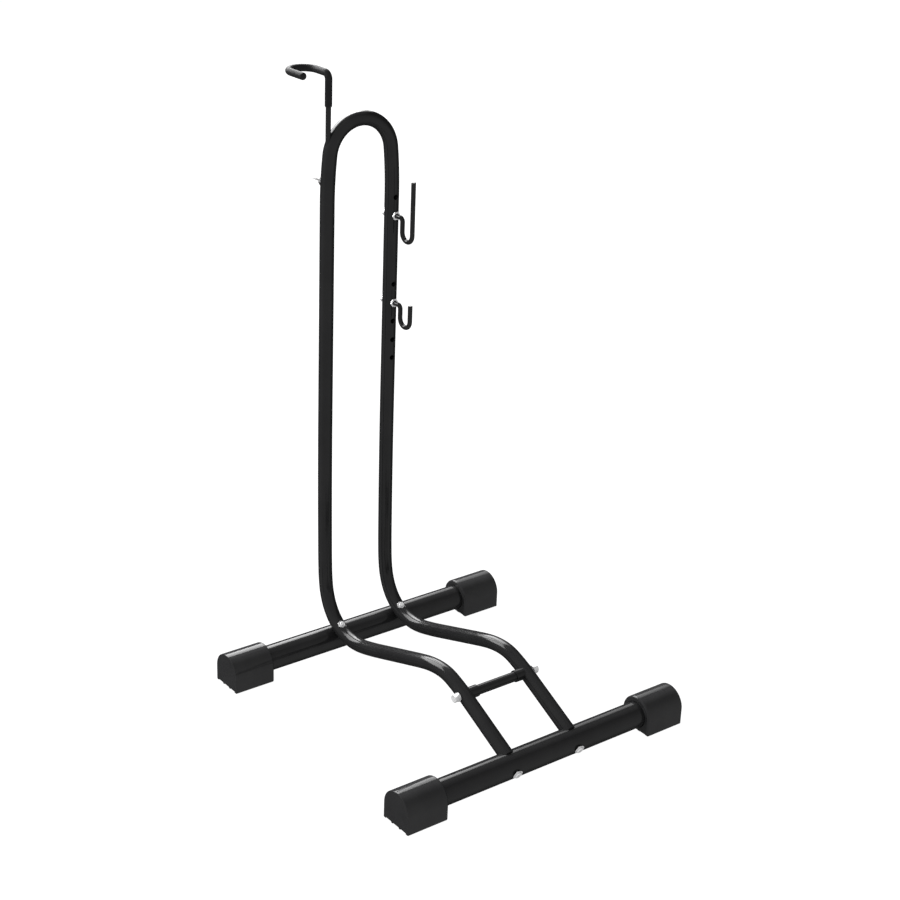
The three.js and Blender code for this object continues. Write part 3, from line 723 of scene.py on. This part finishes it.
def make_rail(name, y, node, holes):
    line = even(np.array([V(-rail_end, y, RAIL_Z), V(rail_end, y, RAIL_Z)]), 10.0)
    o = scratch(sweep(line, RAIL_R, 128, Z1))
    combine(o, [sweep(np.array([V(-rail_end - 5, y, RAIL_Z), V(rail_end + 5, y, RAIL_Z)]), RAIL_R - 1.6, 48, Z1)])
    combine(o, holes)
    shade(o, 40, (rail_surface(y),))
    finish_piece(o, name, "frame", PAINT, node)


make_rail("rail_rear", REAR_Y, "rear_rail", [
    pin(V(s * LEG_X, REAR_Y, RAIL_Z) - 30 * rear_up, rear_up, 60, HOLE_R) for _, s in SIDES])
make_rail("rail_front", FRONT_Y, "front_rail", [
    pin(V(s * LEG_X, FRONT_Y, RAIL_Z) + FRONT_BOLT_OFFSET * leg_normal - 30 * leg_up, leg_up, 60, HOLE_R)
    for _, s in SIDES])


# ------------------------------------------------------------------ end caps
def dee(w, bottom, corner, n_arc=64, n_corner=6, n_side=4, n_floor=12):
    """The cap's outline, arch-topped with a flat foot, as (y, z) about the rail's axis."""
    out = []
    for i in range(n_arc + 1):
        a = math.pi * i / n_arc
        out.append((w * math.cos(a), w * math.sin(a)))
    for i in range(1, n_side + 1):
        out.append((-w, -(bottom - corner) * i / n_side))
    for i in range(1, n_corner + 1):
        a = math.pi + math.pi / 2 * i / n_corner
        out.append((-w + corner + corner * math.cos(a), -bottom + corner + corner * math.sin(a)))
    for i in range(1, n_floor):
        out.append((-(w - corner) + 2 * (w - corner) * i / n_floor, -bottom))
    for i in range(n_corner + 1):
        a = -math.pi / 2 + math.pi / 2 * i / n_corner
        out.append((w - corner + corner * math.cos(a), -bottom + corner + corner * math.sin(a)))
    for i in range(1, n_side):
        out.append((w, -(bottom - corner) * (1 - i / n_side)))
    return out


def cap_rings(y, s):
    rings = []

    def ring(inset, x):
        corner = max(1.0 - inset * 0.5, 0.35)
        p = dee(FOOT_HALF - inset, RAIL_Z - inset, corner)
        return np.array([(s * x, y + a, RAIL_Z + b) for a, b in p])

    inner = FOOT_END - FOOT_LENGTH
    steps = 7
    for k in range(steps + 1):
        a = math.pi / 2 * k / steps
        rings.append(ring(FOOT_EDGE * (1 - math.sin(a)), inner + FOOT_EDGE * (1 - math.cos(a))))
    for x in np.linspace(inner + FOOT_EDGE, FOOT_END - 0.9, 12)[1:]:
        rings.append(ring(0, x))
    for k in range(1, 5):
        a = math.pi / 2 * k / 4
        rings.append(ring(0.9 * (1 - math.cos(a)), FOOT_END - 0.9 + 0.9 * math.sin(a)))
    return rings


def make_cap(name, y, s, node):
    o = scratch(loft(cap_rings(y, s)))
    inner = FOOT_END - FOOT_LENGTH
    lip = 1.0  # small rounding at the mouth
    bore = [(0, -4.0), (RAIL_R + 0.35 + lip * 1.4, -4.0), (RAIL_R + 0.35 + lip * 1.02, -0.02)]
    for k in range(0, 5):
        a = math.pi / 2 * k / 4
        bore.append((RAIL_R + 0.35 + lip * (1 - math.sin(a)), lip * (1 - math.cos(a))))
    bore += [(RAIL_R + 0.35, FOOT_LENGTH - FOOT_WALL), (0, FOOT_LENGTH - FOOT_WALL)]
    tools = [lathe(bore, V(s * inner, y, RAIL_Z), V(s, 0, 0), 128)]
    for a, b in ((-27, -11.5), (-8.5, 8.5), (11.5, 27)):
        groove = rounded([(a - 0.9, -5), (b + 0.9, -5), (b + 0.9, 0), (b + 0.0, 0.15), (b - 0.5, FOOT_RECESS), (a + 0.5, FOOT_RECESS), (a, 0.15), (a - 0.9, 0)],
                         [0, 0, 0, 0.6, 0.9, 0.9, 0.6, 0], 4)
        tools.append(prism(groove, V(inner - 5, y, 0) if s > 0 else V(-FOOT_END - 5, y, 0), X1, FOOT_LENGTH + 10, V(0, 1, 0)))
    combine(o, tools)
    shade(o, 36)
    finish_piece(o, name, "frame", CAPS, node)


for side, s in SIDES:
    make_cap("end_cap_rear_" + side, REAR_Y, s, "foot_cap_rear_" + side)
    make_cap("end_cap_front_" + side, FRONT_Y, s, "foot_cap_front_" + side)


# ------------------------------------------------------------------ fasteners
def threaded(at, d, start, end, r, pitch=1.25, n=40, chamfer=0.9, core=0.0):
    """A threaded shank from start to end along d, with a real helix and a chamfered tip."""
    d = unit(d)
    u = side_of(d)
    v = np.cross(d, u)
    depth = 0.58 * pitch
    rows = max(4, int((end - start) / pitch * 8))
    a = 2 * math.pi * np.arange(n) / n
    rings = []
    for i in range(rows + 1):
        h = start + (end - start) * i / rows
        phase = ((h / pitch) - a / (2 * math.pi)) % 1.0
        cut = depth * (1 - np.minimum(1.0, np.abs(phase - 0.5) * 2.6 / 1.0 + 0.0))
        cut = np.clip(cut, 0, depth)
        limit = r - max(0.0, chamfer - (end - h))
        rr = np.minimum(r - cut, limit)
        rings.append(at + rr[:, None] * (np.cos(a)[:, None] * u + np.sin(a)[:, None] * v) + h * d)
    return loft(rings)


def hexagon(at, d, length, across, chamfers=(True, True), turn=0.0, xdir=None):
    """Hexagon with its corners turned off at 30 degrees at the stated ends."""
    d = unit(d)
    x = unit(xdir) if xdir is not None else side_of(d)
    corner = across / math.sqrt(3)
    out = [(corner * math.cos(turn + math.pi * k / 3), corner * math.sin(turn + math.pi * k / 3)) for k in range(6)]
    o = scratch(prism(out, at, d, length, x))
    flat_r = across / 2 * 0.985
    rise = (corner + 0.6 - flat_r) * math.tan(math.radians(30))
    outline = [(0, -0.2 if not chamfers[0] else 0.0)]
    if chamfers[0]:
        outline += [(flat_r, 0.0), (corner + 0.6, rise)]
    else:
        outline += [(corner + 0.6, -0.2)]
    if chamfers[1]:
        outline += [(corner + 0.6, length - rise), (flat_r, length), (0, length)]
    else:
        outline += [(corner + 0.6, length + 0.2), (0, length + 0.2)]
    combine(o, [lathe(outline, at, d, 96)], "INTERSECT")
    return o


def make_nut(name, at, d, height, node, turn=0.0, body="frame"):
    o = hexagon(at, d, height, NUT_AF, turn=turn)
    r = M8 + GAP
    bore = [(0, -1), (r + 1.4, -1), (r + 0.6, -0.0), (r, 0.7), (r, height - 0.7), (r + 0.6, height), (r + 1.4, height + 1), (0, height + 1)]
    combine(o, [lathe(bore, at, d, 64)])
    soften(o, 0.16, 40, 2)
    shade(o, 30)
    finish_piece(o, name, body, ZINC, node)


def make_washer(name, at, d, thick, outer, inner, node):
    loop = rounded([(inner, 0), (outer, 0), (outer, thick), (inner, thick)], 0.3, 3)
    o = scratch(turned_ring(loop, at, d, 96))
    shade(o, 40)
    finish_piece(o, name, "frame", ZINC, node)


for side, s in SIDES:
    at = V(s * LEG_X, REAR_Y, RAIL_Z)
    base = at - (RAIL_R + GAP + 3.9) * rear_up
    top = OVER_RAIL + 13.0 + RAIL_R + GAP + 3.9
    head = [(0, 0), (2.6, 0.02), (4.4, 0.35), (5.8, 1.1), (6.6, 2.0), (6.98, 3.0), (7.0, 3.6), (6.8, 3.9), (M8, 3.9), (M8, top - 12), (M8 - 0.3, top - 12), (0, top - 12)]
    bolt = scratch(lathe(head, base, rear_up, 64))
    combine(bolt, [threaded(base, rear_up, top - 13, top, M8 - 0.02)], "UNION")
    shade(bolt, 30)
    finish_piece(bolt, "bolt_rear_" + side, "frame", ZINC, "rear_bolt_" + side)
    make_nut("nut_rear_" + side, at + (OVER_RAIL + 4.6) * rear_up, rear_up, 6.5, "rear_nut_" + side, math.pi / 6 + 0.06 * s)

    at = V(s * LEG_X, FRONT_Y, RAIL_Z) + FRONT_BOLT_OFFSET * leg_normal
    make_washer("washer_front_" + side, at - (RAIL_R + GAP + 1.5) * leg_up, leg_up, 1.5, 8.7, HOLE_R, "front_washer_" + side)
    base = at - (RAIL_R + 2 * GAP + 1.5 + 2.2) * leg_up
    head = [(0, 0), (4.2, 0.0), (5.2, 0.15), (6.1, 0.5), (6.7, 1.05), (6.97, 1.6), (7.0, 2.0), (6.8, 2.2), (M8, 2.2), (M8, 70.8), (M8 - 0.8, 71.6), (0, 71.6)]
    bolt = scratch(lathe(head, base, leg_up, 64))
    socket = [(5 / math.sqrt(3) * math.cos(math.pi * k / 3), 5 / math.sqrt(3) * math.sin(math.pi * k / 3)) for k in range(6)]
    combine(bolt, [prism(socket, base - leg_up, leg_up, 3.2, X1),
                   lathe([(0, -1), (3.6, -1), (3.05, 0.02), (2.7, 0.4), (0, 0.4)], base, leg_up, 48)])
    soften(bolt, 0.12, 40, 2)
    shade(bolt, 30)
    finish_piece(bolt, "bolt_front_" + side, "frame", ZINC, "front_bolt_" + side)


# ------------------------------------------------------------------ crossbar
leg_cut = lambda s: pin(V(s * LEG_X, CROSS_Y, CROSS_Z) - 40 * leg_up, leg_up, 80, TUBE_R + 0.12, 96)
line = even(np.array([V(-60, CROSS_Y, CROSS_Z), V(60, CROSS_Y, CROSS_Z)]), 6.0)
bar = scratch(sweep(line, CROSS_R, 64, Z1))
combine(bar, [sweep(np.array([V(-70, CROSS_Y, CROSS_Z), V(70, CROSS_Y, CROSS_Z)]), CROSS_R - 1.5, 32, Z1), leg_cut(-1), leg_cut(1)])
largest_part(bar)
shade(bar, 40)
finish_piece(bar, "crossbar", "frame", PAINT, "crossbar_tube")
for side, s in SIDES:
    x = lambda d: V(s * d, CROSS_Y, CROSS_Z)
    out = V(s, 0, 0)
    loop = rounded([(CROSS_R + 0.35, 0), (CROSS_SLEEVE_R, 0), (CROSS_SLEEVE_R, 20), (CROSS_R + 0.35, 20)], [0.3, 0.55, 0, 0], 4)
    sleeve = scratch(turned_ring(loop, x(CROSS_SLEEVE_IN), out, 96))
    combine(sleeve, [leg_cut(s)])
    largest_part(sleeve)
    shade(sleeve, 40)
    finish_piece(sleeve, "crossbar_end_" + side, "frame", PAINT, "crossbar_sleeve_" + side)
    make_washer("washer_crossbar_" + side, x(LEG_X + TUBE_R + GAP), out, 1.5, 8.0, HOLE_R, "crossbar_washer_" + side)
    lock_at = LEG_X + TUBE_R + 2 * GAP + 1.5
    loop = rounded([(HOLE_R, 0), (7.2, 0), (7.2, 2.2), (HOLE_R, 2.2)], 0.25, 2)
    lock = scratch(turned_ring(loop, x(lock_at), out, 96))
    split = [(-1.3, 3.0), (-0.3, 3.0), (-0.3, 9.0), (-1.3, 9.0)]
    slit = unit(V(0, -0.4 * s, 1))
    combine(lock, [loft([
        np.array([x(lock_at - 0.6) + (q[0] + shift) * slit + q[1] * np.cross(out, slit) for q in split])
        + h * out for h, shift in ((0.0, 0.0), (3.4, 1.6))])])
    shade(lock, 40)
    finish_piece(lock, "lock_washer_" + side, "frame", ZINC, "crossbar_lock_washer_" + side)
    head_at = lock_at + 2.2 + GAP
    bolt = hexagon(x(head_at), out, 5.8, NUT_AF, (False, True), 0.35, Z1)
    combine(bolt, [lathe([(0, 36 - head_at), (M8, 36 - head_at), (M8, 1.0), (0, 1.0)], x(head_at), out, 48)], "UNION")
    soften(bolt, 0.2, 40, 2)
    shade(bolt, 30)
    finish_piece(bolt, "bolt_crossbar_" + side, "frame", ZINC, "crossbar_bolt_" + side)


# ------------------------------------------------------------------ side hooks
def make_side_hook(name, z, bottom, tip, node):
    x, bend = LEG_X, 6.5
    far = HOOK_LEG_Y - 2 * HOOK_BEND_R
    path = np.vstack([
        [V(x, UPRIGHT_Y + TUBE_R + 8.6 - 0.7, z)],
        even(np.array([V(x, UPRIGHT_Y + TUBE_R + 8.6 - 0.7, z), V(x, HOOK_LEG_Y + bend, z)]), 4.0)[1:-1],
        arc(V(x, HOOK_LEG_Y + bend, z - bend), V(0, 0, 1), V(0, -1, 0), bend, 0, math.pi / 2, 14),
        even(np.array([V(x, HOOK_LEG_Y, z - bend), V(x, HOOK_LEG_Y, bottom + HOOK_BEND_R)]), 4.0)[1:-1],
        arc(V(x, HOOK_LEG_Y - HOOK_BEND_R, bottom + HOOK_BEND_R), V(0, 1, 0), V(0, 0, -1), HOOK_BEND_R, 0, math.pi, 36),
        even(np.array([V(x, far, bottom + HOOK_BEND_R), V(x, far, tip - 1.3)]), 6.0)[1:],
    ])
    chamfer = [(0.7, HOOK_R - 0.75)]
    dome = [(0.45, HOOK_R * 0.985), (0.85, HOOK_R * 0.92), (1.12, HOOK_R * 0.82), (1.27, HOOK_R * 0.7), (1.3, HOOK_R * 0.6)]
    o = scratch(sweep(path, HOOK_R, 48, X1, (chamfer, dome)))
    shade(o, 50)
    finish_piece(o, name, node, PAINT, node)
    for which, at, d, height in (
        ("front", UPRIGHT_Y - TUBE_R - GAP, V(0, -1, 0), 4.0),
        ("rear", UPRIGHT_Y + TUBE_R + GAP, V(0, 1, 0), 6.0),
    ):
        end = node.split("_")[-1]
        n = hexagon(V(LEG_X, at, z), d, height, NUT_AF)
        r = HOOK_R + 0.25
        combine(n, [lathe([(0, -1), (r + 1.4, -1), (r + 0.5, 0), (r, 0.5), (r, height - 0.5), (r + 0.5, height), (r + 1.4, height + 1), (0, height + 1)], V(LEG_X, at, z), d, 64)])
        soften(n, 0.16, 40, 2)
        shade(n, 30)
        finish_piece(n, f"nut_{which}_{end}", "frame", ZINC, f"side_hook_nut_{which}_{end}")


make_side_hook("hook_upper", node="side_hook_upper", **UPPER_HOOK)
make_side_hook("hook_lower", node="side_hook_lower", **LOWER_HOOK)


# ------------------------------------------------------------------ top hook
def rod_path(low, ret, step=6.0):
    start = V(ROD_X, UPRIGHT_Y, low)
    bend_c = V(ROD_X, UPRIGHT_Y + ROD_BEND, ROD_TOP_Z - ROD_BEND)
    curl_c = V(ROD_X - ROD_CURL, UPRIGHT_Y + ROD_BEND + ROD_REACH, ROD_TOP_Z)
    b = arc(bend_c, V(0, -1, 0), V(0, 0, 1), ROD_BEND, 0, math.pi / 2, 18)
    c = arc(curl_c, V(1, 0, 0), V(0, 1, 0), ROD_CURL, 0, math.pi, 52)
    return np.vstack([
        even(np.array([start, b[0]]), step)[:-1], b,
        even(np.array([b[-1], c[0]]), step)[1:-1], c,
        even(np.array([c[-1], V(ROD_X - 2 * ROD_CURL, curl_c[1] - ret, ROD_TOP_Z)]), step)[1:],
    ])


rod = scratch(sweep(rod_path(ROD_LOW_Z + 0.6, ROD_RETURN - 6), ROD_R, 40, X1, ([(0.6, ROD_R - 0.6)], [(0.6, ROD_R - 0.6)])))
shade(rod, 50)
finish_piece(rod, "hook_rod", "top_hook", PAINT, "top_hook_rod")
inner_r = ROD_R + 0.25
sleeve_path = rod_path(SLEEVE_LOW_Z + 1.2, ROD_RETURN - 3.4)
lip = [(0.35, SLEEVE_R - 0.03), (0.75, SLEEVE_R - 0.2), (1.05, SLEEVE_R - 0.55), (1.2, SLEEVE_R - 1.0)]
nose = [(0.9, SLEEVE_R - 0.06), (1.8, SLEEVE_R - 0.35), (2.5, SLEEVE_R - 0.85), (3.05, SLEEVE_R - 1.6), (3.45, SLEEVE_R - 2.7), (3.62, SLEEVE_R - 4.0), (3.68, SLEEVE_R - 5.2)]
sleeve = scratch(sweep(sleeve_path, SLEEVE_R, 56, X1, (lip, nose)))
combine(sleeve, [sweep(rod_path(SLEEVE_LOW_Z - 4, ROD_RETURN - 5.4), inner_r, 28, X1)])
shade(sleeve, 50, (along_path(rod_path(SLEEVE_LOW_Z + 0.0, ROD_RETURN - 3.4), SLEEVE_R),))
finish_piece(sleeve, "hook_sleeve", "top_hook", VINYL, "top_hook_sleeve")

# ------------------------------------------------------------------ clamp boss and thumb screw
boss_at = V(CLAMP_X, UPRIGHT_Y + TUBE_R - 3, CLAMP_Z)
boss_long = BOSS_OUT - TUBE_R + 3
boss = hexagon(boss_at, V(0, 1, 0), boss_long, BOSS_AF, (False, False))
combine(boss, [
    sweep(mirror(np.vstack([[V(LEG_X, UPRIGHT_Y, 700)], arch_right[arch_right[:, 2] > 701]])), TUBE_R + 0.12, 96, X1),
    lathe([(0, -1), (CLAMP_R + GAP, -1), (CLAMP_R + GAP, boss_long - 0.5), (CLAMP_R + GAP + 0.5, boss_long), (CLAMP_R + GAP + 1.5, boss_long + 1), (0, boss_long + 1)], boss_at, V(0, 1, 0), 48),
])
largest_part(boss)
soften(boss, 0.35, 40, 3)
shade(boss, 30)
finish_piece(boss, "weld_nut_boss", "frame", PAINT, "clamp_boss")

pad_y = UPRIGHT_Y + ROD_R + GAP
hub_y = UPRIGHT_Y + BOSS_OUT + GAP
start_y = pad_y + 1.9 + GAP
shaft = hub_y - start_y
screw = scratch(lathe([
    (0, shaft - 1.0), (M8 * 0.7, shaft - 1.0), (M8 * 0.7, shaft), (3.9, shaft), (4.08, shaft + 0.25), (4.1, shaft + 0.7), (4.0, shaft + 2.6), (3.8, shaft + 5.0), (3.55, shaft + 5.6), (3.1, shaft + 5.95), (0, shaft + 6.0),
], V(CLAMP_X, start_y, CLAMP_Z), V(0, 1, 0), 64))
wing_side = unit(V(-0.93, 0, 0.367))
wing_flat = np.cross(wing_side, V(0, 1, 0))
outline = catmull([V(a, b, 0) for a, b in [
    (0.0, 6.1), (2.9, 6.5), (4.6, 9.2), (5.8, 13.4), (6.9, 16.2), (8.7, 17.1), (10.0, 15.4), (10.4, 12.0),
    (10.0, 8.2), (8.2, 4.8), (5.6, 2.1), (3.2, 0.9), (0.0, 0.7)]], 60)[:, :2]
outline = np.vstack([outline, (outline * V(-1, 1)[:2])[::-1][1:-1]])[::-1]
layers = []
for k, (off, inset) in enumerate([(-1.5, 0.6), (-1.32, 0.24), (-0.95, 0.0), (0.95, 0.0), (1.32, 0.24), (1.5, 0.6)]):
    n = len(outline)
    prev, nxt = np.roll(outline, 1, 0), np.roll(outline, -1, 0)
    tang = nxt - prev
    tang /= np.linalg.norm(tang, axis=1)[:, None]
    inward = np.stack([-tang[:, 1], tang[:, 0]], 1)
    area = 0.5 * np.sum(outline[:, 0] * nxt[:, 1] - nxt[:, 0] * outline[:, 1])
    if area < 0:
        inward = -inward
    q = outline + inward * inset
    layers.append(np.array([V(CLAMP_X, hub_y, CLAMP_Z) + a * wing_side + b * V(0, 1, 0) + off * wing_flat for a, b in q]))
combine(screw, [loft(layers), threaded(V(CLAMP_X, start_y, CLAMP_Z), V(0, 1, 0), 0.0, shaft + 0.2, CLAMP_R - 0.02, 1.0, 40, 0.0)], "UNION")
shade(screw, 36)
finish_piece(screw, "wing_screw", "thumb_screw", DULL_ZINC, "thumb_screw")


# ------------------------------------------------------------------ stage, light and camera
def stage_material():
    m, t, s = nodes_of("pale_floor")
    c = object_coord(t)
    soft = noise(t, 3.0, 3.0, 0.5, c)
    fine = noise(t, 240.0, 3.0, 0.6, c)
    t.links.new(mix(t, ramp(t, soft.outputs["Fac"], 0.3, 0.7, 0.0, 1.0), (0.045, 0.045, 0.045), (0.055, 0.055, 0.055)), s.inputs["Base Color"])
    s.inputs["Specular IOR Level"].default_value = 0.0
    s.inputs["Roughness"].default_value = 1.0
    s.inputs["Emission Color"].default_value = (1.0, 1.0, 1.0, 1.0)
    s.inputs["Emission Strength"].default_value = 1.0
    t.links.new(bump(t, fine.outputs["Fac"], 0.02, 0.0002), s.inputs["Normal"])
    return m


m = bpy.data.meshes.new("floor")
m.from_pydata([(-30, -30, -0.0004), (30, -30, -0.0004), (30, 30, -0.0004), (-30, 30, -0.0004)], [], [(0, 1, 2, 3)])
floor = bpy.data.objects.new("floor", m)
LIVE.objects.link(floor)
floor.data.materials.append(stage_material())
floor.visible_glossy = False  # the tubes' edges stay dark, as over a flagged table

# the room: white on the camera's side, flagged dark behind the rack, where one large soft box hangs
world = bpy.data.worlds.new("studio")
bpy.context.scene.world = world
world.use_nodes = True
wt = world.node_tree
bg = wt.nodes["Background"]
where = wt.nodes.new("ShaderNodeTexCoord")
dot = wt.nodes.new("ShaderNodeVectorMath")
dot.operation = "DOT_PRODUCT"
dot.inputs[1].default_value = (-0.62, -0.785, 0.0)
wt.links.new(where.outputs["Generated"], dot.inputs[0])
room = wt.nodes.new("ShaderNodeMapRange")
room.interpolation_type = "SMOOTHSTEP"
for name, value in (("From Min", -0.35), ("From Max", 0.45), ("To Min", 0.05), ("To Max", 1.0)):
    room.inputs[name].default_value = value
wt.links.new(dot.outputs["Value"], room.inputs["Value"])
split_dir = wt.nodes.new("ShaderNodeSeparateXYZ")
wt.links.new(where.outputs["Generated"], split_dir.inputs[0])
level = room.outputs[0]
for low, high, bright in ((0.66, 0.84, 0.55),):  # a white ceiling
    band = wt.nodes.new("ShaderNodeMapRange")
    band.interpolation_type = "SMOOTHSTEP"
    for name, value in (("From Min", low), ("From Max", high), ("To Min", 0.0), ("To Max", bright)):
        band.inputs[name].default_value = value
    wt.links.new(split_dir.outputs["Z"], band.inputs["Value"])
    top_of = wt.nodes.new("ShaderNodeMath")
    top_of.operation = "MAXIMUM"
    wt.links.new(level, top_of.inputs[0])
    wt.links.new(band.outputs[0], top_of.inputs[1])
    level = top_of.outputs[0]
path = wt.nodes.new("ShaderNodeLightPath")
seen = wt.nodes.new("ShaderNodeMath")
seen.operation = "MAXIMUM"
wt.links.new(level, seen.inputs[0])
wt.links.new(path.outputs["Is Camera Ray"], seen.inputs[1])
bg.inputs["Color"].default_value = (1.0, 1.0, 1.0, 1.0)
wt.links.new(seen.outputs[0], bg.inputs["Strength"])


def area(name, at, target, size, power, size_y=None, spread=180):
    l = bpy.data.lights.new(name, "AREA")
    l.shape = "RECTANGLE" if size_y else "SQUARE"
    l.size = size
    if size_y:
        l.size_y = size_y
    l.energy = power
    l.spread = math.radians(spread)
    o = bpy.data.objects.new(name, l)
    o.location = at
    o.rotation_euler = (Vector(target) - Vector(at)).to_track_quat("-Z", "Y").to_euler()
    o.visible_camera = False
    LIVE.objects.link(o)
    return o


rise = math.radians(37.0)
for name, left_edge, right_edge, power in (
    ("soft_box", -43.0, 34.7, 880), ("soft_box_edge", -43.0, 40.3, 476), ("soft_box_spill", -43.0, 49.0, 216),
):
    reach = 5.0 * math.cos(rise)
    x0, x1 = reach * math.tan(math.radians(left_edge)), reach * math.tan(math.radians(right_edge))
    centre = Vector(((x0 + x1) / 2, reach, 5.0 * math.sin(rise) + 0.2))
    o = area(name, centre, centre - Vector((0, math.cos(rise), math.sin(rise))), x1 - x0, power, 2.96)

a, e, r = math.radians(-38.19), math.radians(23.54), math.radians(2.21)
back = Vector((math.sin(a) * math.cos(e), -math.cos(a) * math.cos(e), math.sin(e)))
right = Vector((0, 0, 1)).cross(back).normalized()
up = back.cross(right)
cx = right * math.cos(r) + up * math.sin(r)
cy = -right * math.sin(r) + up * math.cos(r)
cam = bpy.data.cameras.new("camera")
cam.sensor_width = 36.0
cam.sensor_fit = "HORIZONTAL"
cam.lens = 36.0 * 1844.18 / 900.0
cam.clip_start, cam.clip_end = 0.05, 100.0
co = bpy.data.objects.new("camera", cam)
co.matrix_world = Matrix.Translation((-1.72282, -2.20723, 1.68535)) @ Matrix((
    (cx.x, cy.x, back.x, 0), (cx.y, cy.y, back.y, 0), (cx.z, cy.z, back.z, 0), (0, 0, 0, 1)))
LIVE.objects.link(co)
bpy.context.scene.camera = co
view = bpy.context.scene.view_settings
view.view_transform = "Standard"
view.look = "None"
view.exposure = 0.0
view.gamma = 1.0
